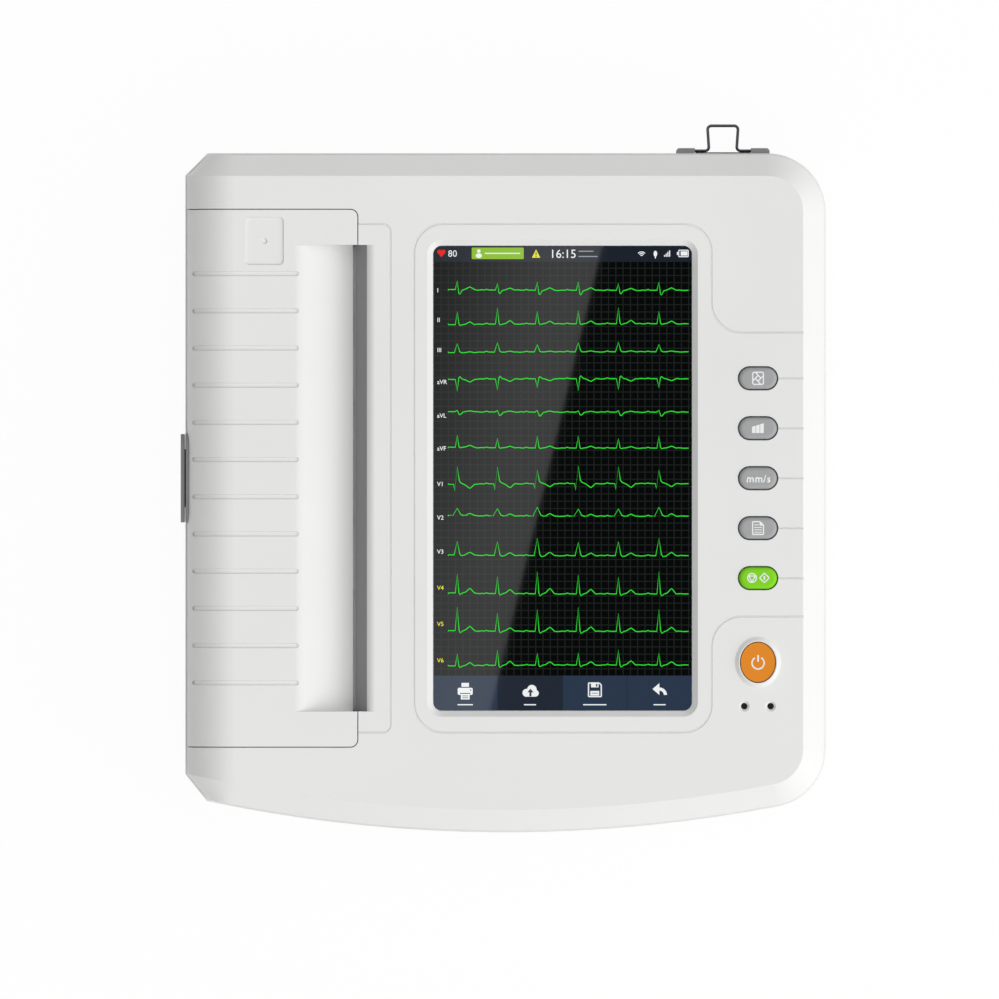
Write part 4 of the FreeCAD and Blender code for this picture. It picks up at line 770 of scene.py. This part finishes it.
def settle(mesh: bmesh.types.BMesh, name: str, body: str, finish: Finish) -> bpy.types.Object:
    """Turn a finished bmesh into a piece of the machine.

    Args:
        mesh: the shape, in its place; it is freed.
        name: of the piece.
        body: CAD body that it rides on.
        finish: its look.

    Returns:
        The piece.
    """
    data = bpy.data.meshes.new(name)
    mesh.to_mesh(data)
    mesh.free()
    piece = bpy.data.objects.new(name, data)
    bpy.context.scene.collection.objects.link(piece)
    data.materials.append(material_of(finish))
    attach(piece, body)
    LOG.info("piece %s rides on %s, %d faces", name, body, len(data.polygons))
    return piece


@dataclass(frozen=True)
class Beat:
    """One lead of the picture: where its line runs and how far each wave of a beat goes, in millimetres."""

    name: str
    row: float
    label_row: float
    rise: float
    before: float
    after: float
    wave: float
    broad: float = 1.0
    yellow: bool = False


@dataclass
class ScreenPicture:
    """Picture on the display: twelve traces, their names, the status bar and the soft keys' signs.

    Places are in millimetres from the back left corner of the glass, across and towards the front.
    """

    left: float = -33.5
    back: float = 111.2
    line: float = 0.42
    merge: float = 0.0001
    first: float = 7.1
    last: float = 122.2
    steady: float = 0.86
    drift: float = 0.5
    shiver: float = 0.14
    rest_from: float = 9.0
    rest_step: float = 0.9
    rest_steps: int = 4
    name_left: float = 1.8
    name_high: float = 2.1
    name_bold: float = 0.02
    beats: Sequence[float] = (11.5, 30.7, 49.8, 69.4, 88.6, 108.0)
    leads: Sequence[Beat] = (
        Beat("I", 21.3, 21.2, 4.3, 0, -2.4, 1.3), Beat("II", 37.3, 35.4, 7.8, 0, -0.4, 1.7),
        Beat("III", 50.7, 49.8, 4.8, 0, 0, 0.5, 1.5), Beat("aVR", 63.6, 65.1, -5.9, 0, 1.5, -1.3),
        Beat("aVL", 79.6, 81.2, 0.8, 0, -1.9, 0.5, 1.2), Beat("aVF", 96.8, 96.9, 6.2, 0, -0.3, 1.0),
        Beat("V1", 113.8, 113.9, 8.9, -3.2, 0.8, -2.0, 1.3), Beat("V2", 129.4, 130.0, 4.3, 0, 0, 1.2, 2.2),
        Beat("V3", 148.3, 146.3, 8.3, 0, -0.5, 1.6, 1.6), Beat("V4", 166.6, 163.6, 10.8, 0, -1.0, 2.6, 1.0, True),
        Beat("V5", 184.5, 180.9, 11.8, 0, -1.1, 2.2, 1.1, True), Beat("V6", 200.6, 198.3, 7.3, 0, -1.0, 2.0, 1.0, True),
    )
    white: Finish = ScreenGlow("glow_white", ink(240, 243, 244), 0.02)
    yellow: Finish = ScreenGlow("glow_yellow", ink(236, 228, 40), 0.02)
    green: Finish = ScreenGlow("glow_trace", ink(8, 232, 24), 0.02)
    lime: Finish = ScreenGlow("glow_lime", ink(140, 190, 38), 0.02)
    red: Finish = ScreenGlow("glow_red", ink(224, 34, 28), 0.02)
    dim: Finish = ScreenGlow("glow_dim", ink(150, 156, 166), 0.02)
    dark: Finish = MattInk("warning_black", ink(30, 30, 20))
    navy: Finish = MattInk("soft_key_navy", ink(40, 48, 64))
    corner: tuple[float, float, float] = field(init=False)

    def build(self) -> None:
        """Make every part of the picture."""
        self.corner = (self.left * MM, self.back * MM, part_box("screen_glass")[1].z)
        self.traces()
        self.names()
        self.status_bar()
        self.soft_keys()

    def film(self, name: str, layer: int = 0) -> Stencil:
        """Return an empty film on the glass, or on another film."""
        return Stencil(name, self.corner, flip=True, layer=layer)

    def lay(self, film: Stencil, finish: Finish) -> None:
        """Lay a film on the glass."""
        film.lay("case", "screen_glass", finish)

    def heart_line(self, lead: Beat) -> list[Point]:
        """Return the points of one lead's line, with a little unrest of its own.

        Args:
            lead: whose line it is.

        Returns:
            The points, from left to right.
        """
        quiet = [(-6.4, 0), (-5.2, 0.45), (-4.2, 0.05), (-1.7, 0)]
        waves = [(-0.95 * lead.broad, lead.before), (0, lead.rise), (0.75 * lead.broad, lead.rise * 0.12 + lead.after),
                 (1.25 * lead.broad, lead.after), (2.3 * lead.broad, lead.after * 0.15), (4.0, lead.wave * 0.2),
                 (5.3, lead.wave * 0.75), (6.1, lead.wave), (7.0, lead.wave * 0.6), (8.2, 0.02)]
        points: list[Point] = [(self.first, lead.row)]
        for index, beat in enumerate(self.beats):
            swing = self.steady + (1 - self.steady) * math.sin(2.1 * index + lead.row)
            drift = self.drift * math.exp(-index) * math.cos(lead.row)
            points += [(beat + x, lead.row + drift - y * swing) for x, y in quiet + waves if beat + x > self.first]
            for step in range(self.rest_steps):
                shiver = self.shiver * math.sin(5.3 * step + lead.row + 3.1 * index)
                points.append((beat + self.rest_from + self.rest_step * step, lead.row + drift * 0.6 + shiver))
        return [*(point for point in points if point[0] < self.last), (self.last, lead.row)]

    def traces(self) -> None:
        """Make the twelve green lines from curves that are flattened on the glass."""
        curve = bpy.data.curves.new("traces", "CURVE")
        curve.dimensions = "3D"
        curve.bevel_depth = self.line / 2 * MM
        curve.bevel_resolution = 1
        curve.use_fill_caps = True
        for lead in self.leads:
            points = self.heart_line(lead)
            spline = curve.splines.new("POLY")
            spline.points.add(len(points) - 1)
            for knot, (x, y) in zip(spline.points, points):
                knot.co = (self.corner[0] + x * MM, self.corner[1] - y * MM, 0, 1)
        flat = mesh_of(curve)
        thin = Stencil.film / (self.line * MM)
        flat.transform(Matrix.Translation((0, 0, self.corner[2] + Stencil.film / 2))
                       @ Matrix.Diagonal((1, 1, thin, 1)))
        mesh = bmesh.new()
        mesh.from_mesh(flat)
        bpy.data.meshes.remove(flat)
        bmesh.ops.remove_doubles(mesh, verts=mesh.verts[:], dist=self.merge * MM)
        bmesh.ops.recalc_face_normals(mesh, faces=mesh.faces[:])
        settle(mesh, "screen_traces", "case", self.green)

    def names(self) -> None:
        """Write the names of the leads."""
        for yellow, name, finish in ((False, "screen_lead_names_white", self.white),
                                     (True, "screen_lead_names_yellow", self.yellow)):
            film = self.film(name)
            for lead in self.leads:
                if lead.yellow == yellow:
                    film.words(lead.name, self.name_left, lead.label_row, self.name_high, bold=self.name_bold)
            self.lay(film, finish)

    def status_bar(self) -> None:
        """Make the signs along the back edge."""
        heart = self.film("screen_heart")
        heart.disc(3.0, 2.9, 1.05)
        heart.disc(4.8, 2.9, 1.05)
        heart.patch([(2.05, 3.35), (3.9, 5.4), (5.75, 3.35), (3.9, 2.6)])
        self.lay(heart, self.red)
        pill = self.film("screen_patient_field")
        pill.bar(30.85, 3.6, 24.9, 5.5, round_=0.5)
        self.lay(pill, self.lime)
        warning = self.film("screen_warning")
        warning.patch([(49.2, 1.7), (47.2, 5.7), (51.2, 5.7)])
        self.lay(warning, self.yellow)
        mark = self.film("screen_warning_mark", 1)
        mark.bar(49.2, 3.8, 0.45, 1.5)
        mark.disc(49.2, 5.1, 0.28)
        self.lay(mark, self.dark)
        figure = self.film("screen_patient_sign", 1)
        figure.disc(21.8, 2.5, 0.85)
        figure.disc(21.8, 4.7, 1.5, 0.75)
        figure.bar(33.1, 3.6, 17.0, 0.5, round_=0.2)
        self.lay(figure, self.white)
        signs = self.film("screen_status_signs")
        signs.words("80", 7.0, 3.6, 3.2)
        signs.words("16:15", 62.1, 3.7, 4.15, middle=True)
        for radius in (0.7, 1.5, 2.3):
            signs.arc(99.7, 5.2, radius, 0.45, 225.0, 90.0)
        signs.disc(106.3, 3.8, 0.85, 1.7)
        signs.bar(106.3, 5.6, 0.5, 0.9)
        for step, high in enumerate((0.8, 1.5, 2.3, 3.0)):
            signs.bar(110.7 + 0.8 * step, 5.2 - high / 2, 0.5, high)
        signs.loop([(117.5, 2.1), (122.0, 2.1), (122.0, 5.2), (117.5, 5.2)], 0.45)
        signs.bar(120.0, 3.65, 3.2, 2.0)
        signs.bar(116.9, 3.65, 0.6, 1.4)
        self.lay(signs, self.white)
        date = self.film("screen_date_lines")
        date.bar(73.1, 2.6, 7.2, 0.5, round_=0.2)
        date.bar(74.1, 5.1, 9.2, 0.5, round_=0.2)
        self.lay(date, self.dim)

    def soft_keys(self) -> None:
        """Make the signs of the four soft keys: print, send, keep and go back."""
        film = self.film("screen_soft_key_signs")
        film.bar(15.3, 210.1, 3.6, 1.9)
        film.bar(15.3, 213.2, 7.2, 3.4, round_=0.7)
        film.bar(15.3, 215.7, 4.2, 2.8)
        film.disc(44.6, 213.9, 1.9)
        film.disc(47.2, 212.4, 2.3)
        film.disc(48.9, 214.1, 1.6)
        film.bar(46.7, 214.9, 4.6, 1.7)
        film.loop([(74.3, 209.2), (79.4, 209.2), (80.4, 210.2), (80.4, 215.7), (74.3, 215.7)], 0.6)
        film.bar(77.3, 210.3, 3.6, 2.0)
        film.bar(77.3, 214.1, 4.2, 2.2)
        film.patch([(104.9, 212.1), (108.2, 209.3), (108.2, 214.9)])
        film.arc(108.2, 215.0, 2.9, 1.5, 270.0, 88.0)
        for middle, wide in ((15.3, 7.4), (46.3, 5.8), (77.3, 11.2), (108.3, 5.8)):
            film.bar(middle, 219.6, wide, 0.55, round_=0.2)
        self.lay(film, self.white)
        gaps = self.film("screen_soft_key_marks", 1)
        gaps.bar(15.3, 211.3, 4.4, 0.4)
        gaps.bar(15.3, 214.2, 5.0, 0.4)
        gaps.bar(15.3, 215.4, 2.8, 0.32)
        gaps.bar(15.3, 216.3, 2.8, 0.32)
        gaps.disc(17.9, 212.6, 0.32)
        gaps.patch([(46.5, 211.9), (45.0, 213.7), (48.0, 213.7)])
        gaps.bar(46.5, 214.6, 1.0, 2.0)
        gaps.bar(78.2, 210.3, 0.7, 1.3)
        gaps.bar(77.3, 214.1, 3.0, 0.3)
        self.lay(gaps, self.navy)


@dataclass
class KeyPad:
    """Signs on the five keys and on the power button, in millimetres from the middle of each."""

    line: float = 0.6
    white: Finish = MattInk("sign_white", ink(238, 240, 240), 0.5)

    def build(self) -> None:
        """Print every sign."""
        for node, body, slot, sign in (
            ("key_lead_off", "key_lead_off", "key_grey", self.lead_off),
            ("key_gain", "key_gain", "key_grey", self.gain),
            ("key_speed", "key_speed", "key_grey", self.speed),
            ("key_report", "key_report", "key_grey", self.report),
            ("key_start", "key_start", "key_green", self.start),
            ("power_button", "power", "power_orange", self.power),
        ):
            low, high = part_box(node)
            film = Stencil(f"{node}_sign", ((low.x + high.x) / 2, (low.y + high.y) / 2, high.z))
            sign(film)
            film.lay(body, slot, self.white)

    def lead_off(self, film: Stencil) -> None:
        """Draw a square with round corners and four lines that cross in its middle.

        Args:
            film: to draw on.
        """
        wide, high, round_, out, inner = 2.56, 2.9, 0.8, 1.3, 1.35
        for side in (-1, 1):
            film.bar(0, side * high, 2 * (wide - round_), self.line)
            film.bar(side * wide, 0, self.line, 2 * (high - round_))
            film.stroke((-side * out, side * high), (side * inner, 0), self.line)
            film.stroke((side * wide, side * out), (0, -side * inner), self.line)
        for x, y, start in ((1, 1, 0.0), (-1, 1, 90.0), (-1, -1, 180.0), (1, -1, 270.0)):
            film.arc(x * (wide - round_), y * (high - round_), round_, self.line, start, 90.0)

    def gain(self, film: Stencil) -> None:
        """Draw three rising bars.

        Args:
            film: to draw on.
        """
        wide, foot = 1.72, -2.3
        for left, low, high in ((-2.9, 3.0, 3.5), (-0.95, 3.6, 4.1), (1.0, 4.2, 4.7)):
            film.patch([(left, foot), (left + wide, foot), (left + wide, foot + high), (left, foot + low)])

    def speed(self, film: Stencil) -> None:
        """Write the unit of the paper speed."""
        film.words("mm/s", 0.1, -0.1, 3.6, middle=True, bold=0.16, spread=1.08)

    def report(self, film: Stencil) -> None:
        """Draw a page with a turned corner.

        Args:
            film: to draw on.
        """
        film.loop([(-2.6, -3.0), (2.6, -3.0), (2.6, 1.4), (0.9, 3.1), (-2.6, 3.1)], self.line)
        film.patch([(0.7, 2.9), (0.7, 1.2), (2.4, 1.2)])
        for row, wide in ((1.6, 2.2), (0.35, 3.6), (-0.8, 3.6), (-1.95, 3.6)):
            film.bar(-1.8 + wide / 2, row, wide, 0.42)

    def start(self, film: Stencil) -> None:
        """Draw a ring with a triangle for stop and a diamond with a bar for start.

        Args:
            film: to draw on.
        """
        thin = self.line * 0.9
        film.arc(-2.9, 0.1, 2.1, thin)
        film.loop([(-4.5, 1.0), (-1.3, 1.0), (-2.9, -1.8)], thin)
        film.loop([(0.7, 0.1), (3.0, 2.4), (5.3, 0.1), (3.0, -2.2)], thin)
        film.bar(3.0, 0.1, 0.75, 2.0, round_=0.2)

    def power(self, film: Stencil) -> None:
        """Draw the open ring and bar of a standby switch."""
        film.arc(0, -0.3, 2.9, 0.68, 122.0, 296.0)
        film.bar(0, 1.9, 0.8, 3.2, round_=0.2)


def round_edges(mesh: bmesh.types.BMesh, radius: float) -> None:
    """Round every edge of a mesh by a radius in metres."""
    bmesh.ops.bevel(mesh, geom=mesh.edges[:], offset=radius, offset_type="OFFSET", segments=2, profile=0.5,
                    material=-1, affect="EDGES")


@dataclass
class Contacts:
    """Contacts of the three sockets on the right, in millimetres.

    A strip or spring lies in from the mouth of its socket, and up or down from the middle.
    """

    pin_counts: tuple[int, int] = (8, 7)
    pin_pitch: float = 2.77
    pin_rows: float = 2.84
    pin_ring: float = 0.78
    pin_hole: float = 0.5
    strip_rows: Sequence[float] = (-3.5, -1.0, 1.0, 3.5)
    strip: Sequence[float] = (7.0, 1.0, 0.2)
    strip_in: float = 5.0
    strip_up: float = 0.4
    springs: int = 8
    spring_pitch: float = 1.02
    spring: Sequence[float] = (8.0, 0.46, 0.3)
    spring_round: float = 0.08
    spring_in: float = 6.5
    spring_down: float = 1.2
    spring_lean: float = 28.0

    def build(self) -> None:
        """Make every contact."""
        self.lead_contacts()
        self.data_contacts()
        self.network_contacts()

    def lead_contacts(self) -> None:
        """Set two rows of round contacts into the patient-lead socket, each with a near-black disc of painted shade for
        its hole.
        """
        low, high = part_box("lead_socket")
        face = Vector((high.x, (low.y + high.y) / 2, (low.z + high.z) / 2))
        rings = Stencil("lead_socket_contacts", face, facing=Facing.RIGHT)
        # near-black discs: painted shade standing in for the depth of the pin holes
        holes = Stencil("lead_socket_holes", face, facing=Facing.RIGHT, layer=1)
        for count, side in zip(self.pin_counts, (1, -1)):
            for step in range(count):
                across, up = (step - (count - 1) / 2) * self.pin_pitch, side * self.pin_rows / 2
                rings.disc(across, up, self.pin_ring)
                holes.disc(across, up, self.pin_hole)
        rings.lay("case", "brass", Look.GOLD.value)
        holes.lay("case", "dark_plastic", Look.HOLE.value)

    def data_contacts(self) -> None:
        """Lay four flat contacts under the tongue of the small data socket."""
        low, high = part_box("usb_port")
        under = (high.x - self.strip_in * MM, (low.y + high.y) / 2, (low.z + high.z) / 2 + self.strip_up * MM)
        strips = Stencil("usb_contacts", under, facing=Facing.DOWN)
        long, wide, round_ = self.strip
        for row in self.strip_rows:
            strips.bar(0, row, long, wide, round_=round_)
        strips.lay("case", "brass", Look.GOLD.value)

    def network_contacts(self) -> None:
        """Bend eight contact springs into the network socket."""
        low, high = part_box("network_port")
        middle = Vector((high.x - self.spring_in * MM, (low.y + high.y) / 2,
                         (low.z + high.z) / 2 - self.spring_down * MM))
        mesh = bmesh.new()
        for step in range(self.springs):
            bar = bmesh.ops.create_cube(mesh, size=MM)["verts"]
            across = (step - (self.springs - 1) / 2) * self.spring_pitch * MM
            place = (Matrix.Translation(middle + Vector((0, across, 0)))
                     @ Matrix.Rotation(math.radians(self.spring_lean), 4, "Y") @ Matrix.Diagonal((*self.spring, 1)))
            bmesh.ops.transform(mesh, matrix=place, verts=bar)
        round_edges(mesh, self.spring_round * MM)
        settle(mesh, "network_contacts", "case", Look.GOLD.value)


@dataclass
class Underside:
    """Cross slots of the screws, painted as near-black shade, and a bare riveted plate, in millimetres."""

    screws: Sequence[Point] = ((128.0, 130.0), (128.0, -128.0), (-136.0, 141.0), (-136.0, -141.0))
    slot: Point = (3.6, 0.8)
    plate: Sequence[float] = (62.0, 30.0, 2.0)
    plate_at: Point = (20.0, 40.0)
    rivet_out: float = 27.5
    rivet_radius: float = 1.3

    def build(self) -> None:
        """Paint the shade of the slots and rivet the plate on."""
        self.screw_slots()
        self.bare_plate()

    def screw_slots(self) -> None:
        """Paint the shade of the screws' cross slots as near-black film."""
        # near-black crosses: painted shade standing in for the recesses of the screw slots
        slots = Stencil("screw_slots", (0, 0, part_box("case_screws")[0].z), flip=True, facing=Facing.DOWN)
        long, wide = self.slot
        for x, y in self.screws:
            slots.bar(x, y, long, wide)
            slots.bar(x, y, wide, long)
        slots.lay("case", "dark_plastic", Look.HOLE.value)

    def bare_plate(self) -> None:
        """Rivet the bare plate to the underside."""
        under = (self.plate_at[0] * MM, self.plate_at[1] * MM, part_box("lower_case")[0].z)
        wide, high, round_ = self.plate
        sheet = Stencil("bare_plate", under, facing=Facing.DOWN)
        sheet.bar(0, 0, wide, high, round_=round_)
        sheet.lay("case", "aluminium", Look.PLATE.value)
        rivets = Stencil("bare_plate_rivets", under, facing=Facing.DOWN, layer=1)
        for side in (-1, 1):
            rivets.disc(side * self.rivet_out, 0, self.rivet_radius)
        rivets.lay("case", "steel", Look.GOLD.value)


@dataclass
class Bumpers:
    """Two soft stops on which the handle of the latch rests, in millimetres."""

    inner: float = 14.1
    outer: float = 20.8
    height: float = 49.1
    high: float = 1.0
    thick: float = 0.4
    sunk: float = 0.3
    round_: float = 0.12

    def build(self) -> None:
        """Set the stops on the bezel, beside the neck of the handle."""
        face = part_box("latch_bezel")[0].x / MM
        size = (self.thick + self.sunk, self.outer - self.inner, self.high)
        mesh = bmesh.new()
        for side in (-1, 1):
            block = bmesh.ops.create_cube(mesh, size=MM)["verts"]
            middle = Vector((face + (self.sunk - self.thick) / 2, side * (self.inner + self.outer) / 2, self.height))
            place = Matrix.Translation(middle * MM) @ Matrix.Diagonal((*size, 1))
            bmesh.ops.transform(mesh, matrix=place, verts=block)
        round_edges(mesh, self.round_ * MM)
        settle(mesh, "latch_bumpers", "cover", Look.DARK.value)


@dataclass
class Dressed:
    """Sub-assembly of CAD nodes that keep their shapes and get finishes."""

    nodes: dict[str, bpy.types.Object]
    looks: dict[str, Look]

    def build(self) -> None:
        """Give the nodes their finishes."""
        for name, look in self.looks.items():
            slots = self.nodes[name].data.materials
            slots.clear()
            slots.append(material_of(look.value))
            LOG.info("node %s is dressed in %s", name, look.value.name)


@dataclass
class Housing(Dressed):
    """Case halves with what is fixed to their outside."""

    looks: dict[str, Look] = field(default_factory=lambda: {
        "upper_case": Look.CASE, "lower_case": Look.CASE, "battery_door": Look.CASE, "rubber_feet": Look.RUBBER,
        "case_screws": Look.STEEL, "mains_inlet": Look.BLACK, "inlet_blades": Look.BRASS, "bail_blocks": Look.GREY,
        "bail_wire": Look.WIRE, "lead_socket": Look.GREY, "usb_port": Look.STEEL, "network_port": Look.BLACK,
    })


@dataclass
class ChartPrinter(Dressed):
    """Paper cover, pull latch, platen and its gears, print head and chart roll."""

    looks: dict[str, Look] = field(default_factory=lambda: {
        # the tear bar's grey is partly painted shade of the trough wall beside the paper slit
        "paper_cover": Look.CASE, "tear_bar": Look.TEAR, "latch_bezel": Look.DARK, "latch_handle": Look.DARK,
        "latch_pin": Look.STEEL, "latch_keeper": Look.STEEL, "cover_runners": Look.NATURAL,
        "runner_guides": Look.NATURAL,
        "platen_cheeks": Look.STEEL, "platen_bushes": Look.NATURAL, "platen_shaft": Look.STEEL,
        "platen_roller": Look.RUBBER, "platen_gear": Look.NATURAL, "idler_gear": Look.NATURAL,
        "idler_pin": Look.STEEL, "motor_pinion": Look.BRASS, "motor_shaft": Look.STEEL, "feed_motor": Look.STEEL,
        "printer_frame": Look.STEEL, "print_head": Look.ALUMINIUM, "head_heat_sink": Look.ALUMINIUM,
        "chart_roll": Look.PAPER, "roll_core": Look.CARD, "spool_shaft": Look.BLACK, "roll_holders": Look.BLACK,
    })


@dataclass
class Electronics(Dressed):
    """Display, key board, circuit boards, battery and speaker."""

    looks: dict[str, Look] = field(default_factory=lambda: {
        "screen_glass": Look.GLASS, "display_panel": Look.CHIP, "display_bracket": Look.STEEL,
        "indicator_lenses": Look.LENS, "key_mat": Look.MAT, "dome_switches": Look.STEEL, "key_board": Look.BOARD,
        "main_board": Look.BOARD, "power_board": Look.BOARD, "main_board_chips": Look.CHIP,
        "power_board_parts": Look.CHIP, "battery_pack": Look.WRAP, "speaker": Look.BLACK,
        "key_lead_off": Look.KEY, "key_gain": Look.KEY, "key_speed": Look.KEY, "key_report": Look.KEY,
        "key_start": Look.START, "power_button": Look.POWER,
    })


@dataclass
class Studio:
    """Camera straight above, one soft key light, a card that the glass mirrors, a white floor and the room.

    The camera's aim, table, distance, width of view and sensor and the card's edge are in millimetres, and the other
    sizes are in metres.
    """

    aim: Point = (-1.8, -10.2)
    table: float = 82.0
    distance: float = 18000.0
    across: float = 478.0
    sensor: float = 36.0
    sight: float = 200.0
    key_way: Sequence[float] = (0.446, -0.26, 0.22)
    key_distance: float = 3.4
    key_size: float = 1.8
    key_power: float = 21.0
    room: tuple[float, float] = (0.31, 0.93)
    room_lean: Point = (0.88, -0.33)
    ceiling: tuple[float, float] = (0.992, 0.998)
    card_height: float = 1.5
    card_size: Point = (0.2, 0.32)
    card_edge: Sequence[Point] = ((51.9, 123.8), (-6.3, -117.6))
    card_glow: tuple[float, float] = (0.2, 1.1)
    card_fade: tuple[float, float] = (-0.107, -0.0146)
    card_slope: float = 0.24
    floor_radius: float = 14.0
    floor_sides: int = 64
    floor_tones: tuple[float, float] = (0.86, 0.9)
    floor_clouds: float = 3.0
    floor_white: float = 0.95

    def build(self) -> None:
        """Set up the whole studio."""
        self.camera()
        self.key_light()
        self.card()
        self.floor()
        self.surroundings()

    def camera(self) -> None:
        """Hang the camera straight above the machine."""
        data = bpy.data.cameras.new("camera")
        data.sensor_width = self.sensor
        data.lens = data.sensor_width * self.distance / self.across
        data.clip_end = self.sight
        camera = bpy.data.objects.new("camera", data)
        camera.location = (self.aim[0] * MM, self.aim[1] * MM, (self.table + self.distance) * MM)
        bpy.context.scene.collection.objects.link(camera)
        bpy.context.scene.camera = camera

    def key_light(self) -> None:
        """Set the soft key light at the front right, and keep it out of what glossy faces mirror."""
        data = bpy.data.lights.new("key_light", "AREA")
        data.shape = "DISK"
        data.size = self.key_size
        data.energy = self.key_power
        lamp = bpy.data.objects.new("key_light", data)
        way = Vector(self.key_way).normalized()
        lamp.visible_glossy = False
        lamp.location = way * self.key_distance
        lamp.rotation_euler = way.to_track_quat("Z", "Y").to_euler()
        bpy.context.scene.collection.objects.link(lamp)

    def card(self) -> None:
        """Hang the glowing card whose edge shows as a slanted line in the glass."""
        back, front = (Vector((x * MM, y * MM, self.card_height)) for x, y in self.card_edge)
        middle = (back + front) / 2
        lean = math.atan2((back - front).x, (back - front).y)
        wide, long = self.card_size
        mesh = bmesh.new()
        corners = bmesh.ops.create_grid(mesh, x_segments=1, y_segments=1, size=0.5)["verts"]
        place = (Matrix.Translation(middle) @ Matrix.Rotation(-lean, 4, "Z")
                 @ Matrix.Translation((-wide / 2, 0, 0)) @ Matrix.Diagonal((wide, long, 1, 1)))
        bmesh.ops.transform(mesh, matrix=place, verts=corners)
        material = bpy.data.materials.new("card_glow")
        material.use_nodes = True
        nodes = Nodes(material.node_tree)
        x, y, _ = nodes.axes()
        fade = nodes.step(x - y * self.card_slope, *(middle.x + end for end in self.card_fade))
        nodes.close(nodes.add("ShaderNodeEmission", None, {
            "Color": nodes.mix(fade, *(shade(WHITE, glow) for glow in self.card_glow)), "Strength": 1.0}))
        card = self.place(mesh, "card", material)
        card.visible_camera = card.visible_diffuse = card.visible_shadow = False

    def floor(self) -> None:
        """Lay the white floor, which keeps the machine's shadow."""
        mesh = bmesh.new()
        bmesh.ops.create_circle(mesh, cap_ends=True, segments=self.floor_sides, radius=self.floor_radius)
        material = bpy.data.materials.new("floor_white")
        material.use_nodes = True
        nodes = Nodes(material.node_tree)
        tone = nodes.mix(nodes.noise(self.floor_clouds), *(shade(WHITE, level) for level in self.floor_tones))
        matt = nodes.add("ShaderNodeBsdfDiffuse", None, {"Color": tone})
        glow = nodes.add("ShaderNodeEmission", None, {"Color": WHITE, "Strength": 1.0})
        white = self.seen(nodes) * self.floor_white
        nodes.close(nodes.add("ShaderNodeMixShader", None, {0: white, 1: matt, 2: glow}))
        self.place(mesh, "floor", material)

    def surroundings(self) -> None:
        """Fill the room with soft light, with a dark ceiling straight above the machine."""
        world = bpy.data.worlds.new("room")
        bpy.context.scene.world = world
        world.use_nodes = True
        nodes = Nodes(world.node_tree)
        way = nodes.add("ShaderNodeTexCoord", out="Generated")
        up = nodes.add("ShaderNodeSeparateXYZ", None, {0: way}, "Z")
        open_ = 1.0 - nodes.step(up, *self.ceiling)
        seen = self.seen(nodes)
        low, rise = self.room
        across, along = (nodes.add("ShaderNodeSeparateXYZ", None, {0: way}, axis) for axis in "XY")
        lean = 1.0 + across * self.room_lean[0] + along * self.room_lean[1]
        level = (seen + (1.0 - seen) * (up.most(0.0) * rise + low) * lean) * open_
        nodes.close(nodes.add("ShaderNodeBackground", None, {"Color": WHITE, "Strength": level}),
                    "ShaderNodeOutputWorld")

    @staticmethod
    def seen(nodes: Nodes) -> Wire:
        """Tell the rays that show the background itself, directly or in a mirror, from the others.

        Args:
            nodes: tree of the floor or the room.

        Returns:
            One for such rays, and zero for the others.
        """
        seen = nodes.add("ShaderNodeLightPath", out="Is Camera Ray")
        for ray in ("Is Glossy Ray", "Is Transmission Ray"):
            seen = seen.most(nodes.add("ShaderNodeLightPath", out=ray))
        return seen

    @staticmethod
    def place(mesh: bmesh.types.BMesh, name: str, material: bpy.types.Material) -> bpy.types.Object:
        """Turn a bmesh into a part of the stage.

        Args:
            mesh: the shape, in its place; it is freed.
            name: of the part.
            material: its look.

        Returns:
            The part.
        """
        data = bpy.data.meshes.new(name)
        mesh.to_mesh(data)
        mesh.free()
        data.materials.append(material)
        item = bpy.data.objects.new(name, data)
        bpy.context.scene.collection.objects.link(item)
        LOG.info("stage %s, %d faces", name, len(data.polygons))
        return item


def main() -> None:
    """Load the frame, dress it, add the pieces and set up the studio."""
    logging.basicConfig(level=logging.INFO, format="%(name)s: %(message)s")
    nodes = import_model()["nodes"]
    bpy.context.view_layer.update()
    for assembly in (Housing(nodes), ChartPrinter(nodes), Electronics(nodes),
                     ScreenPicture(), KeyPad(), Contacts(), Underside(), Bumpers(), Studio()):
        assembly.build()
    bpy.context.scene.view_settings.view_transform = "Standard"


if __name__ == "__main__":
    main()
